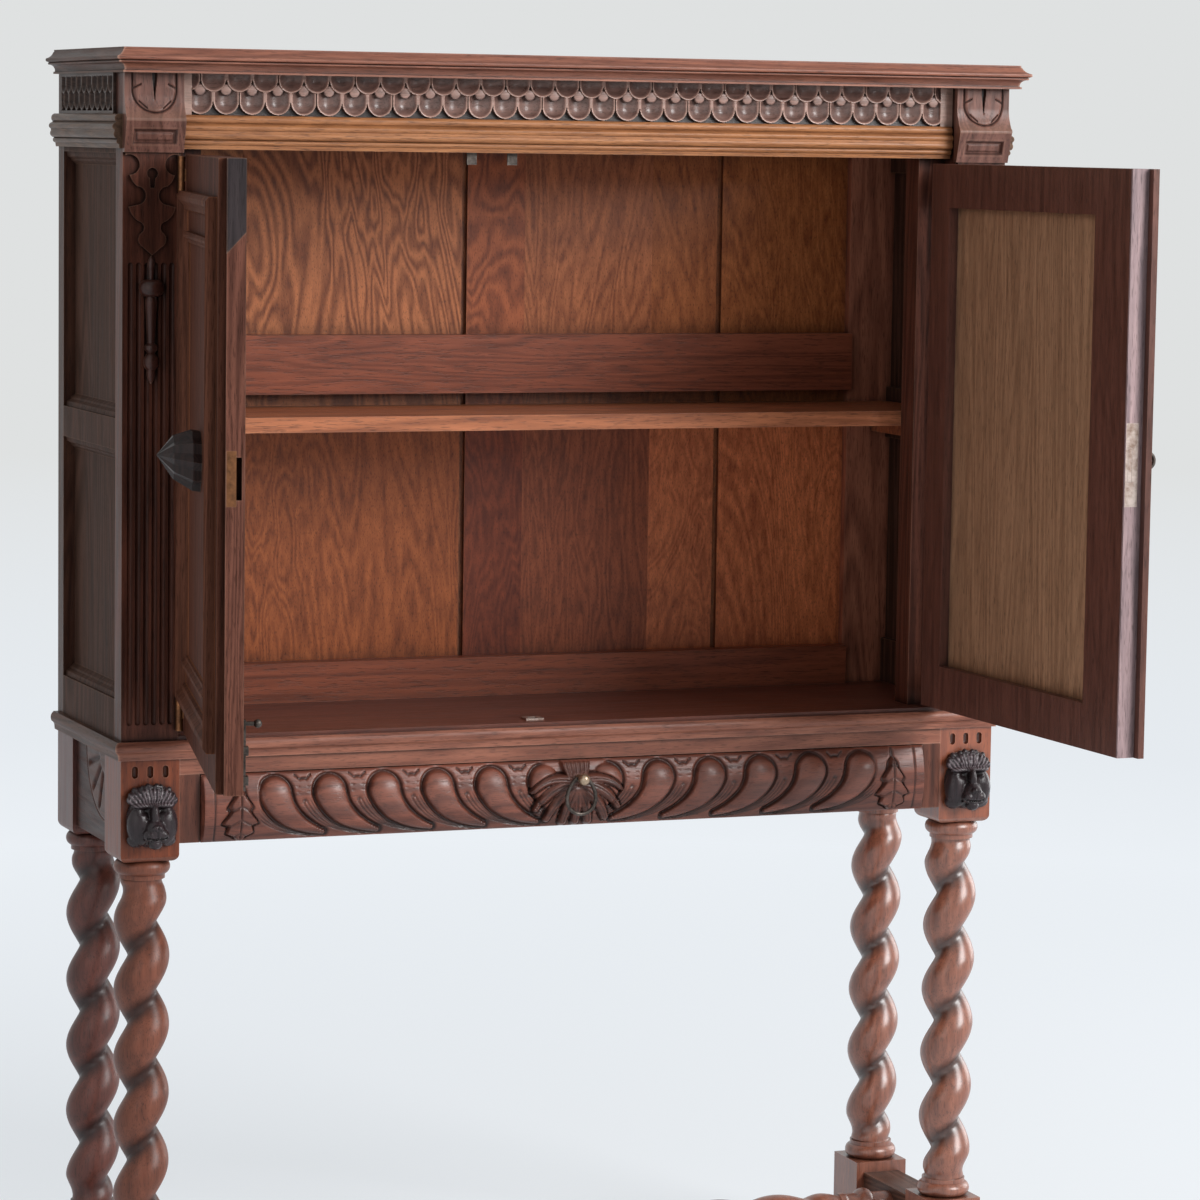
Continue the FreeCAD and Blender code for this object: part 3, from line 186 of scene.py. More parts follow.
def oakFinish(name, light, dark, along, zones=None, hollows=None, **other):
    look = {**oakLook, **other}
    wearAndHighlightTint = screenColour(*look["wearAndHighlightTint"])
    finish, tree, shader = startFinish(name)
    place = addNode(tree, "ShaderNodeTexCoord", {}).outputs["Object"]
    share = look["fibreShare"]
    if zones:
        place, tint, share = readZones(tree, place, zones, share)
    pull = [look["stretch"] if axis == along else 1 for axis in "xyz"]
    grain = addNode(tree, "ShaderNodeMapping", {"Vector": place, "Scale": pull}, vector_type="TEXTURE")
    grain = grain.outputs["Vector"]
    figure = addNoise(tree, grain, look["figure"], 3, Distortion=look["warp"])
    fibre = addNoise(tree, grain, look["fibre"], 5, Roughness=look["fibreRough"],
                     Distortion=look["fibreWarp"])
    pore = addNoise(tree, grain, look["pore"], 2)
    poreMark = addRamp(tree, pore, [(look["poreFrom"], grey(1)), (look["poreTo"], grey(0))])
    # the figure is folded several times over, so that it reads as growth rings
    rings = addMath(tree, "SINE", addMath(tree, "MULTIPLY", figure, look["rings"]), 0)
    body = addBlend(tree, share, addRange(tree, rings, -1, 1, 0, 1), fibre)
    body = addBlend(tree, look["figureShare"], body, figure)
    wood = addRamp(tree, body, [(look["darkAt"], screenColour(*dark)),
                                (look["lightAt"], screenColour(*light))])
    if zones:
        wood = addMix(tree, 1, wood, tint, "MULTIPLY")
    wood = addMix(tree, addMath(tree, "MULTIPLY", poreMark, look["poreDark"]), wood, polishAndShade["pores"])
    # recesses found by occlusion are darkened: old polish together with painted shade
    recessPolishAndShadeMark = addRecess(tree, look["recessReach"], look["recessFrom"], look["recessTo"])
    wood = addMix(tree, addMath(tree, "MULTIPLY", recessPolishAndShadeMark, look["recessPolishAndShade"]), wood, polishAndShade["recesses"])
    # painted shade in the hollows of a twisted leg
    if hollows:
        wood = addMix(tree, twistShadeMark(tree, place, hollows), wood, polishAndShade["twists"])
    arrisMark = addRecess(tree, look["wearReach"], look["wearFrom"], look["wearTo"], inside=True)
    arrisMark = addMath(tree, "MULTIPLY", arrisMark, look["wear"])
    rubbed = addMath(tree, "MULTIPLY", arrisMark, addMath(tree, "ADD", fibre, look["wearBase"]))
    wood = addMix(tree, rubbed, wood, wearAndHighlightTint)
    # carved pieces carry a tone: above zero is paler, rubbed wear on some pieces and a painted highlight on
    # others; below zero is painted shade in cuts, hollows and undersides
    tone = addNode(tree, "ShaderNodeAttribute", {}, attribute_name="tone").outputs["Fac"]
    wood = addMix(tree, addRange(tree, tone, 0, 1, 0, look["tonePale"]), wood, wearAndHighlightTint)
    wood = addMix(tree, addRange(tree, tone, -1, 0, look["toneDark"], 0), wood, polishAndShade["carving"])
    tree.links.new(wood, shader.inputs["Base Color"])
    gloss = addRange(tree, fibre, 0.25, 0.75, look["roughness"] - look["smoother"],
                     look["roughness"] + look["rougher"])
    tree.links.new(gloss, shader.inputs["Roughness"])
    shader.inputs["Specular IOR Level"].default_value = look["specular"]
    shader.inputs["Coat Weight"].default_value = look["coat"]
    shader.inputs["Coat Roughness"].default_value = look["coatRoughness"]
    height = addMath(tree, "SUBTRACT", fibre, addMath(tree, "MULTIPLY", poreMark, look["poreDepth"]))
    addBump(tree, shader, look["bump"], look["bumpDepth"], height)
    return finish


# metal: mottled tarnish with rubbed bright arrises
metalLook = {"mottle": 90, "mottleRough": 0.65, "dullAt": 0.34, "brightAt": 0.66, "pit": 900, "wear": 0.7,
             "wearReach": 0.0015, "wearFrom": 0.30, "wearTo": 0.70, "rougher": 0.12, "smoother": 0.08,
             "bump": 0.2, "bumpDepth": 0.0003}


def metalFinish(name, bright, dull, roughness, metallic):
    look = metalLook
    finish, tree, shader = startFinish(name)
    place = addNode(tree, "ShaderNodeTexCoord", {}).outputs["Object"]
    cloud = addNoise(tree, place, look["mottle"], 6, Roughness=look["mottleRough"])
    skin = addRamp(tree, cloud, [(look["dullAt"], screenColour(*dull)),
                                 (look["brightAt"], screenColour(*bright))])
    arrisMark = addRecess(tree, look["wearReach"], look["wearFrom"], look["wearTo"], look["wear"], True)
    skin = addMix(tree, arrisMark, skin, screenColour(*bright))
    tree.links.new(skin, shader.inputs["Base Color"])
    gloss = addRange(tree, cloud, 0.3, 0.7, roughness + look["rougher"], roughness - look["smoother"])
    tree.links.new(gloss, shader.inputs["Roughness"])
    shader.inputs["Metallic"].default_value = metallic
    addBump(tree, shader, look["bump"], look["bumpDepth"], addNoise(tree, place, look["pit"], 3))
    return finish


def meshPoints(piece):
    points = np.empty(len(piece.data.vertices) * 3)
    piece.data.vertices.foreach_get("co", points)
    return points.reshape(-1, 3)


def reachAlong(name, direction):
    reach = meshPoints(nodes[name]) @ np.array(direction)
    return float(reach.min()), float(reach.max())


# how far each door stands open, in degrees about the vertical
swings = {joint["name"]: joint.get("range_deg") for joint in frame["record"]["behaviour"]["joints"]}
leftOpen = math.radians(swings["left_door_hinge"][0])
rightOpen = math.radians(-swings["right_door_hinge"][0])
plainTint = (255, 255, 255)


# a door's panel is bare pale oak inside and polished dark outside
def panelZones(name, angle):
    outward = (math.sin(angle), -math.cos(angle), 0)
    low, high = reachAlong(name, outward)
    return {"along": outward, "low": low, "high": high,
            "tints": [(low, plainTint), ((low + high) / 2, (147, 121, 127))]}


# the left door's meeting edge face is painted paler and bluer than its faces, a painted highlight
leftEdge = {"depth": 0.0012, "tint": (300, 312, 325)}


def leftEdgeZones():
    toEdge = (math.cos(leftOpen), math.sin(leftOpen), 0)
    low, high = reachAlong("left_door_frame", toEdge)
    return {"along": toEdge, "low": low, "high": high,
            "tints": [(low, plainTint), (high - leftEdge["depth"], leftEdge["tint"])]}


# the right door's edge has a painted pale bluish highlight line between its lip and its stile
rightEdge = {"before": 0.01, "lineFrom": 0.0095, "lineTo": 0.0125, "after": 0.03, "tint": (390, 500, 580)}


def rightEdgeZones():
    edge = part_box("right_door_frame")[0].y
    low = edge - rightEdge["before"]
    return {"along": (0, 1, 0), "low": low, "high": edge + rightEdge["after"],
            "tints": [(low, plainTint), (edge + rightEdge["lineFrom"], rightEdge["tint"]),
                      (edge + rightEdge["lineTo"], plainTint)]}


# the rear posts are painted lighter inside the case, where shade falls, and painted with grey shade on the
# case's sides
rearPost = {"reach": 0.6, "sideDepth": 0.016, "sideShadeTint": (122, 126, 128)}


def rearPostZones():
    reach = rearPost["reach"]
    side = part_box("rear_post_right")[1].x - rearPost["sideDepth"]
    return {"along": (1, 0, 0), "low": -reach, "high": reach,
            "tints": [(-reach, rearPost["sideShadeTint"]), (-side, plainTint), (side, rearPost["sideShadeTint"])]}


# legs: warm blocks above the twists, and painted shade in the hollows of the twists
legLook = {"blockDrop": 0.01, "twistTint": (255, 250, 250), "blockTint": (255, 214, 170),
           "hollowDeep": 0.0175, "hollowClear": 0.0245, "hollowDark": 0.8}
legAxis = [(low + high) / 2 for low, high in zip(*(corner.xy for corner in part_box("rear_leg_right")))]
twistHollowShade = {"axis": legAxis, "deep": legLook["hollowDeep"], "clear": legLook["hollowClear"],
               "dark": legLook["hollowDark"]}
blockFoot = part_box("side_aprons")[0].z - legLook["blockDrop"]
legZones = {"along": (0, 0, 1), "low": 0, "high": 1,
            "tints": [(0, legLook["twistTint"]), (blockFoot, legLook["blockTint"])]}

# back boards: tints across the boards above the shelf and below it, and how much plain fibre each shows; the
# boards on the right, in the right door's shade, are painted lighter, most of all below the shelf
boardZones = {
    "along": (1, 0, 0), "low": -0.6, "high": 0.6,
    "plainBelow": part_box("shelf")[1].z,
    "outside": sum(corner.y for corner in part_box("back_boards")) / 2,
    "tints": [(-0.6, (252, 238, 226)), (-0.415, (255, 255, 244)), (-0.33, (252, 240, 228)),
              (-0.046, (226, 194, 180)), (0.03, (246, 228, 214)), (0.2, (246, 226, 196)),
              (0.292, (255, 236, 200))],
    "below": [(236, 205, 175), (242, 222, 190), (238, 208, 177), (190, 148, 143),
              (214, 183, 178), (280, 252, 240), (300, 270, 254)],
    "shares": [0.6, 0.6, 0.6, 0.68, 0.8, 0.85, 0.85],
}

dullWood = {"specular": 0.03, "coat": 0, "roughness": 0.6}
legWood = {"fibreShare": 0.85, "wear": 0.25, "hollows": twistHollowShade}
innerWood = {"fibreShare": 0.75, "recessReach": 0.03, "wear": 0.15}

# each oak: its light and dark colour, the axis of its grain, and what differs from the usual look
oaks = {
    "oakAcross": ((170, 110, 88), (112, 66, 53), "x",
                  {"fibreShare": 0.8, "recessPolishAndShade": 0.85, "recessFrom": 0.4, "recessTo": 0.95, "wear": 0.5,
                   "wearAndHighlightTint": (212, 170, 150)}),
    "oakDeep": ((114, 81, 68), (62, 42, 34), "y", {"specular": 0.08, "coat": 0}),
    "oakUpright": ((112, 64, 48), (62, 34, 26), "z", {}),
    "rearPostOak": ((186, 120, 94), (116, 68, 54), "z",
                    {"specular": 0.16, "coat": 0, "zones": rearPostZones()}),
    "sidePanel": ((97, 70, 59), (57, 40, 32), "z", {"specular": 0.05, "coat": 0, "roughness": 0.55}),
    "honeyAcross": ((190, 129, 84), (128, 79, 49), "x", {"fibreShare": 0.85}),
    "honeyDeep": ((120, 92, 74), (76, 56, 44), "y", {"specular": 0.16, "coat": 0}),
    "legOak": ((164, 104, 80), (108, 62, 46), "z",
               {**legWood, "roughness": 0.34, "specular": 0.75, "coat": 0.4, "coatRoughness": 0.2,
                "bump": 0.10, "zones": legZones}),
    # the front left leg takes a darker, duller copy of the leg oak, painted shade, and the rear left leg a
    # darker copy again
    "legLeftShaded": ((134, 80, 60), (84, 47, 35), "z",
                {**legWood, "specular": 0.34, "bump": 0.10, "zones": legZones}),
    "legShade": ((112, 64, 54), (68, 36, 31), "z",
                 {**legWood, "roughness": 0.40, "specular": 0.4, "coat": 0.1, "bump": 0.12}),
    "postOak": ((112, 66, 52), (54, 30, 24), "z",
                {"recessPolishAndShade": 0.9, "recessFrom": 0.45, "recessTo": 0.97, "specular": 0.14, "coat": 0}),
    "spindleOak": ((98, 58, 48), (52, 29, 24), "z", {"roughness": 0.34}),
    "boardOak": ((200, 130, 88), (120, 66, 40), "z",
                 {"figure": 4.5, "stretch": 4, "rings": 170, "warp": 1.8, "fibre": 190, "fibreShare": 0.8,
                  "recessReach": 0.03, "wear": 0.1, "zones": boardZones}),
    "floorOak": ((126, 74, 60), (82, 45, 37), "x", innerWood),
    "railOak": ((160, 88, 62), (106, 55, 39), "x", innerWood),
    "shelfOak": ((204, 128, 88), (138, 80, 54), "x", {"recessReach": 0.03}),
    "darkOak": ((56, 37, 34), (26, 17, 16), "z", {"roughness": 0.33, "specular": 0.22}),
    "doorUpright": ((108, 66, 52), (60, 35, 28), "z", {**dullWood, "zones": leftEdgeZones()}),
    "mouldOak": ((122, 77, 60), (68, 41, 32), "z", {**dullWood, "wear": 0.6, "wearAndHighlightTint": (190, 122, 84)}),
    "rightDoor": ((118, 75, 63), (69, 43, 37), "z",
                  {"fibreShare": 0.88, "wear": 0, "zones": rightEdgeZones()}),
    "leftPanel": ((190, 146, 112), (132, 97, 72), "z",
                  {**dullWood, "zones": panelZones("left_door_panel", leftOpen)}),
    "rightPanel": ((186, 143, 110), (136, 100, 75), "z",
                   {"fibreShare": 0.8, "roughness": 0.5, "zones": panelZones("right_door_panel", rightOpen)}),
    "patchOak": ((68, 59, 60), (40, 35, 37), "z", {"specular": 0.15, "coat": 0}),
    "drawerOak": ((138, 80, 63), (84, 46, 37), "x",
                  {"recessPolishAndShade": 0.75, "roughness": 0.32, "specular": 0.4, "wearAndHighlightTint": (176, 136, 124)}),
    "friezeOak": ((178, 140, 128), (110, 79, 71), "x",
                  {"wearAndHighlightTint": (230, 192, 172), "fibreShare": 0.8, "roughness": 0.30, "specular": 0.5,
                   "coat": 0.15}),
    "apronOak": ((104, 66, 56), (58, 34, 29), "y",
                 {"wearAndHighlightTint": (140, 112, 100), "specular": 0.10, "coat": 0}),
    "sideCarvedOak": ((92, 72, 64), (56, 42, 37), "y",
                      {"wearAndHighlightTint": (146, 122, 110), "specular": 0.16, "coat": 0}),
    "consoleOak": ((134, 92, 80), (84, 54, 46), "z", {}),
    "maskOak": ((56, 44, 47), (31, 24, 27), "z",
                {"wear": 0.08, "roughness": 0.27, "specular": 0.32, "wearAndHighlightTint": (182, 164, 170)}),
}

# each metal: its bright and dull colour, roughness and metallic share
metals = {
    "brass": ((205, 184, 160), (130, 106, 82), 0.36, 0.85),
    "lockBrass": ((206, 190, 181), (132, 111, 99), 0.36, 0.8),
    "brassDark": ((148, 99, 65), (90, 60, 41), 0.40, 0.85),
    "iron": ((104, 96, 90), (50, 44, 41), 0.48, 0.9),
}

finishes = {name: oakFinish(name, *wood, **other) for name, (*wood, other) in oaks.items()}
finishes.update({name: metalFinish(name, *look) for name, look in metals.items()})

nodeFinish = {
    "oakAcross": "top_board cornice_front waist_moulding_front fascia_rail",
    "oakDeep": "cornice_sides waist_moulding_sides side_stretchers",
    "oakUpright": "drawer_stiles",
    "rearPostOak": "rear_post_left rear_post_right",
    "sidePanel": "side_panels side_rails",
    "honeyAcross": "necking_front",
    "honeyDeep": "necking_sides",
    "legOak": "front_leg_right rear_leg_right twist_stretcher",
    "legLeftShaded": "front_leg_left",
    "legShade": "rear_leg_left",
    "postOak": "front_post_left front_post_right",
    "boardOak": "back_boards drawer_bottom",
    "railOak": "back_rails drawer_back",
    "floorOak": "case_floor back_apron",
    "shelfOak": "shelf shelf_cleats drawer_runners drawer_sides",
    "spindleOak": "split_spindles",
    "darkOak": "left_door_boss right_door_boss",
    "doorUpright": "left_door_frame",
    "leftPanel": "left_door_panel",
    "mouldOak": "left_door_mouldings right_door_mouldings",
    "rightDoor": "right_door_frame",
    "rightPanel": "right_door_panel",
    "patchOak": "edge_patch",
    "brass": "pull_stud",
    "lockBrass": "lock lock_bolt bolt_keeper",
    "brassDark": "strike_plate hinge_post_leaves left_hinge_leaves right_hinge_leaves",
    "iron": "door_stop_tabs pull_ring bolt_staples floor_bolt door_key",
}


def dress(piece, finish):
    piece.data.materials.clear()
    piece.data.materials.append(finish)


for finishName, names in nodeFinish.items():
    for name in names.split():
        dress(nodes[name], finishes[finishName])
print("finishes on", sum(len(names.split()) for names in nodeFinish.values()), "nodes")


def setPoints(piece, facing, along, depth, rise):
    order = (along, depth, rise) if facing == "front" else (depth, along, rise)
    piece.data.vertices.foreach_set("co", np.stack(order, axis=1).ravel())
    piece.data.update()


def setTone(piece, tones):
    mark = piece.data.attributes.new("tone", "FLOAT", "POINT")
    mark.data.foreach_set("value", tones)


# carved oak: a grid's rim is drawn back into a slab with a plain back, and the face is then cut by a formula
slabMaking = {"tiny": 1e-6, "smoothBelow": 48}


def carvedSlab(name, across, rise, face, back, carve, facing="front"):
    bpy.ops.object.select_all(action="DESELECT")
    bpy.ops.mesh.primitive_grid_add(x_subdivisions=len(across) - 1, y_subdivisions=len(rise) - 1, size=1)
    piece = bpy.context.object
    piece.name = name
    column, row, _ = meshPoints(piece).T
    column = np.rint((column + 0.5) * (len(across) - 1)).astype(int)
    row = np.rint((row + 0.5) * (len(rise) - 1)).astype(int)
    setPoints(piece, facing, across[column], np.full(len(column), face), rise[row])
    bpy.ops.object.mode_set(mode="EDIT")
    bpy.ops.mesh.select_mode(type="EDGE")
    bpy.ops.mesh.select_all(action="DESELECT")
    bpy.ops.mesh.select_non_manifold()
    step = (0, back - face, 0) if facing == "front" else (back - face, 0, 0)
    bpy.ops.mesh.extrude_region_move(TRANSFORM_OT_translate={"value": step})
    bpy.ops.mesh.edge_face_add()
    bpy.ops.object.mode_set(mode="OBJECT")
    points = meshPoints(piece)
    along, depth = (points[:, 0], points[:, 1]) if facing == "front" else (points[:, 1], points[:, 0])
    cut = np.abs(depth - face) < slabMaking["tiny"]
    outward = math.copysign(1, face - back)
    height, tone = carve(along[cut] * 1000, points[cut, 2] * 1000)
    depth = depth.copy()
    depth[cut] = face + outward * height / 1000
    setPoints(piece, facing, along, depth, points[:, 2])
    tones = np.zeros(len(points))
    tones[cut] = tone
    setTone(piece, tones)
    bpy.ops.object.mode_set(mode="EDIT")
    bpy.ops.mesh.select_all(action="SELECT")
    bpy.ops.mesh.normals_make_consistent(inside=False)
    bpy.ops.object.mode_set(mode="OBJECT")
    bpy.ops.object.shade_smooth_by_angle(angle=math.radians(slabMaking["smoothBelow"]))
    return piece


def steps(start, end, spacing):
    return np.linspace(start, end, max(2, int(round(abs(end - start) / spacing)) + 1))


# a tapering lobe along a bent spine: distance outside its edge, its half-width there, distance from the spine
def lobe(x, z, start, bend, end, headRadius, tailRadius, fullness=1.0, stations=26):
    edge = np.full(x.shape, 1e9)
    radius = np.zeros(x.shape)
    spine = np.zeros(x.shape)
    for t in np.linspace(0, 1, stations):
        px = (1 - t) ** 2 * start[0] + 2 * t * (1 - t) * bend[0] + t * t * end[0]
        pz = (1 - t) ** 2 * start[1] + 2 * t * (1 - t) * bend[1] + t * t * end[1]
        r = headRadius + (tailRadius - headRadius) * t ** fullness
        away = np.hypot(x - px, z - pz)
        nearer = away - r < edge
        edge = np.where(nearer, away - r, edge)
        radius = np.where(nearer, r, radius)
        spine = np.where(nearer, away, spine)
    return edge, radius, spine


def domed(edge, radius):
    part = np.clip(-edge / radius, 0, 1)
    return np.sqrt(1 - (1 - part) ** 2)


def line(distance, width):
    return np.exp(-(distance / width) ** 2)


def ease(value, low, high):
    part = np.clip((value - low) / (high - low), 0, 1)
    return part * part * (3 - 2 * part)


# several lobes that grow out of one another, each with a cut vein: height, veins, distance outside the edge
def spray(x, z, relief, lobes):
    height = np.zeros(x.shape)
    veins = np.zeros(x.shape)
    outside = np.full(x.shape, 1e9)
    for start, bend, tip, wide, narrow in lobes:
        edge, radius, spine = lobe(x, z, start, bend, tip, wide, narrow)
        vein = line(spine, 1.0) * (edge < -1.5)
        here = domed(edge, radius) * relief - 1.6 * vein
        veins = np.where(here > height, vein, veins)
        height = np.maximum(height, here)
        outside = np.minimum(outside, edge)
    return height, veins, outside


# an upright pointed leaf with drooping scallops: height, veins and distance outside the edge
def scallopedLeaf(x, z, foot, tall, width, relief, scallops=4):
    part = np.clip((z - foot) / tall, 0, 1)
    off = np.abs(x)
    droop = scallops * (part + 0.25 * off / width)
    wide = width * np.sqrt(np.minimum(1, part / 0.3)) * (1 - part) ** 0.7
    edge = off - wide * (0.86 + 0.14 * np.cos(2 * math.pi * droop))
    ribs = 0.8 * line((droop % 1 - 0.5) * tall / scallops, 1.4)
    veins = np.maximum(line(off, 1.2), ribs) * ease(-edge, 0.5, 3)
    height = relief * ease(-edge, 0, 3.5) * (1 - 0.35 * off / width) - 1.8 * veins
    return np.where(edge < 0, height, 0), veins, edge


# drawer front: a swelling board with comma-shaped gadroons that lean to the middle, sizes in millimetres
drawerCarving = {
    "grid": 0.9, "swell": 13, "swellEdge": 3, "rimFall": 2.2, "rimSide": 2, "rimLevel": 0.55,
    "lobes": 6, "first": 40, "pitch": 66, "headRadius": 19.0, "tailRadius": 3.5, "fullness": 1.15,
    "relief": 7.0, "headDrop": 24, "sweep": 58, "lean": 9, "bendDrop": 34, "tailRise": 7,
    "lobesFrom": (20, 30), "fieldFrom": (36, 44), "fieldTo": (384, 392),
    "cutDepth": 3.4, "cutWidth": 2.2, "cutAway": 1.2,
    "fineDepth": 1.2, "fineWidth": 0.9, "fineShifts": (7, 12, 17), "fineClear": (2.5, 4), "fineTop": 10,
    "nickDrop": 8.0, "nickHalf": 10.5, "nickDepth": 1.7, "dotRise": 6, "dotSize": 2.2, "dotDepth": 1.5,
    "strokeRises": (22, 16), "strokePlace": 6.5, "strokeDepth": 0.7,
    "palmetteRelief": 7.5, "stemHalf": 13, "stemSpread": 7, "stemFlutes": 3.5, "fluteDepth": 1.6,
    "budDrop": 19, "budSize": 9, "budRelief": 8,
    "leafRelief": 6.0, "leafWidth": 28, "leafTall": 64, "leafPlace": 412, "leafFoot": 2, "leafFrom": 370,
    "outlineDepth": 2.0, "stripLine": 442, "stripDepth": 1.4,
}


def gadroons(half, z, low, high):
    # the row of lobes: raised crown, distance outside the nearest lobe, and fine lines beside the lobes
    d = drawerCarving
    edges = []
    fine = np.zeros(half.shape)
    crown = np.zeros(half.shape)
    for number in range(d["lobes"]):
        headX = d["first"] + number * d["pitch"]
        headZ = high - d["headDrop"]
        shape = ((headX, headZ), (headX - d["lean"], headZ - d["bendDrop"]),
                 (headX - d["sweep"], low + d["tailRise"]), d["headRadius"], d["tailRadius"], d["fullness"])
        edge, radius, _ = lobe(half, z, *shape)
        for shift in d["fineShifts"]:
            fine = np.maximum(fine, line(lobe(half - shift, z, *shape)[0], d["fineWidth"]))
        fall = np.minimum(1, 0.35 + 0.65 * radius / d["headRadius"])
        crown = np.maximum(crown, domed(edge, radius) * d["relief"] * fall)
        edges.append(edge)
    return crown, np.min(edges, axis=0), fine


def gapMarks(half, z, middle, high):
    # between the heads: a spread nick under the top edge, a dot and two short strokes, as depth and painted
    # shade
    d = drawerCarving
    depth = np.zeros(half.shape)
    dark = np.zeros(half.shape)
    for number in range(d["lobes"]):
        gap = half - (d["first"] + (number + 0.5) * d["pitch"] - 1)
        wings = high - d["nickDrop"] + 4.0 * np.abs(gap) / 10 - 2.4 * line(np.abs(gap) - 4.5, 2.6)
        nick = line(z - wings, 1.5) * (np.abs(gap) < d["nickHalf"])
        dot = line(np.hypot(gap + 1, z - (middle + d["dotRise"])), d["dotSize"])
        stroke = sum(line(z - (middle + rise), 0.9) for rise in d["strokeRises"])
        stroke = stroke * line(np.abs(gap) - d["strokePlace"], 2.4) * 0.7
        depth += d["nickDepth"] * nick + d["dotDepth"] * dot + d["strokeDepth"] * stroke
        dark += 0.9 * nick + 0.9 * dot + 0.5 * stroke
    return depth, dark


def palmette(half, z, low, middle, high):
    # behind the pull: a fluted stem above, a leaf below it that spreads and hangs down on both sides
    d = drawerCarving
    plume, veins, leafEdge = spray(half, z, d["palmetteRelief"], [
        ((0, middle + 4), (0, middle - 14), (0, low + 6), 9, 5),
        ((3, middle + 4), (12, middle - 12), (16, low + 6), 9, 5),
        ((6, middle + 8), (27, middle - 6), (37, low + 10), 9, 4.5),
        ((8, middle + 12), (36, middle + 8), (52, low + 22), 9, 4),
        ((10, middle + 16), (38, middle + 22), (56, middle + 4), 7, 3)])
    stemWidth = d["stemHalf"] + d["stemSpread"] * ease(z, middle + 12, high)
    stem = ease(stemWidth - half, 0, 3) * ease(z, middle + 6, middle + 14)
    flutes = 0.5 - 0.5 * np.cos(half / stemWidth * d["stemFlutes"] * 2 * math.pi)
    plume = np.maximum(plume, stem * (d["palmetteRelief"] - d["fluteDepth"] * flutes))
    plume = np.maximum(plume, line(np.hypot(half, z - (high - d["budDrop"])), d["budSize"]) * d["budRelief"])
    inside = np.maximum(ease(-leafEdge, -1.5, 1.5), stem)
    rim = line(leafEdge - 0.8, 1.2) * (1 - stem)
    return plume, veins, inside, rim


def drawerFace(x, z):
    d = drawerCarving
    low, high = (corner.z * 1000 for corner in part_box("drawer_front"))
    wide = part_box("drawer_front")[1].x * 1000
    middle = (low + high) / 2
    half = np.abs(x)
    sag = d["swell"] - d["swellEdge"]
    bow = ((high - low) ** 2 / 4 + sag * sag) / (2 * sag)
    height = d["swell"] - bow + np.sqrt(bow * bow - (z - middle) ** 2)
    crown, nearest, fine = gadroons(half, z, low, high)
    raised = crown * ease(half, *d["lobesFrom"])
    field = ease(half, *d["fieldFrom"]) * (1 - ease(half, *d["fieldTo"]))
    # a dark cut runs round each lobe, with three finer lines outside it
    cut = line(nearest - d["cutAway"], d["cutWidth"]) * field
    fine *= ease(nearest, *d["fineClear"]) * field * (1 - ease(z, middle, middle + d["fineTop"]))
    height += raised - d["cutDepth"] * cut - d["fineDepth"] * fine
    # painted highlight on the lobes' crowns; painted shade in the cuts and fine lines, and over the lower
    # half where the swell turns down
    tone = 0.2 * crown / d["relief"] - 0.75 * cut - 0.6 * fine - 0.35 * (1 - ease(z, low, middle))
    depth, dark = gapMarks(half, z, middle, high)
    height -= depth * field
    tone -= dark * field
    plume, veins, inside, rim = palmette(half, z, low, middle, high)
    height += np.where(inside > 0.02, plume - raised * inside, 0) - d["outlineDepth"] * rim * (1 - inside)
    # the palmette is darker overall, with painted shade in its veins and in the cut round it
    tone = tone * (1 - inside) - (0.45 + 0.4 * veins) * inside - 0.6 * rim
    # an upright leaf at each end, and a plain strip outside it
    leaf, veins, leafEdge = scallopedLeaf(half - d["leafPlace"], z, low + d["leafFoot"], d["leafTall"],
                                          d["leafWidth"], d["leafRelief"])
    leafCut = line(leafEdge - 0.7, 1.2) * (half > d["leafFrom"]) * (half < d["stripLine"])
    height += leaf - d["outlineDepth"] * leafCut - d["stripDepth"] * line(half - d["stripLine"], 0.9)
    inside = ease(-leafEdge, -1, 1)
    # the end leaf is darker, with painted shade in its veins, in the cut round it and in the strip line
    tone = tone * (1 - inside) - (0.25 + 0.5 * veins) * inside - 0.8 * leafCut
    tone -= 0.7 * line(half - d["stripLine"], 1.1)
    # the face falls back to its edge, so that the board keeps a clean rim
    rimFade = ease(np.minimum(z - low, high - z), 0, d["rimFall"]) * ease(wide - half, 0, d["rimSide"])
    return height * (d["rimLevel"] + (1 - d["rimLevel"]) * rimFade), tone * rimFade


def makeDrawerCarving():
    low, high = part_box("drawer_front")
    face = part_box("fascia_rail")[0].y
    grid = drawerCarving["grid"] / 1000
    piece = carvedSlab("gadroonedDrawerFront", steps(low.x, high.x, grid), steps(low.z, high.z, grid),
                       face, high.y, drawerFace)
    dress(piece, finishes["drawerOak"])
    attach(piece, "drawer")
    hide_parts("drawer_front")


# frieze: half discs with raised rims above, small discs in the gaps, U-shaped scales half a step along below
friezeCarving = {"grid": 0.75, "relief": 5, "pitch": 30.5, "gap": 0.2, "rim": 1.6, "floor": -1.5,
                 "upperDrop": 20, "upperLevel": 5.0, "upperDish": 6.4,
                 "discRadius": 6.6, "discDrop": 17.5, "discLevel": 3.2, "discDome": 0.9,
                 "lowerRise": 0.6, "lowerLevel": 4.0, "lowerDish": 7.0,
                 "strip": 14, "stripLevel": 3.6, "stripTone": 0.5, "step": 1e-4}


def scaleCup(x, z, bottom, radius, rim, level, dish):
    # a U with a round lower end: raised rim, hollowed like a spoon inside; the rim is paler and the hollow
    # darkened with painted shade
    dz = np.minimum(z - (bottom + radius), 0)
    edge = np.hypot(x, dz) - radius
    part = np.clip((-edge - rim) / (radius - rim), 0, 1)
    inner = 1 - (1 - part) ** 2
    rimMark = line(edge + rim * 0.5, rim * 0.75)
    return edge, level + 0.4 * rimMark - dish * inner, 0.4 * rimMark - 0.5 * ease(part, 0, 0.15)


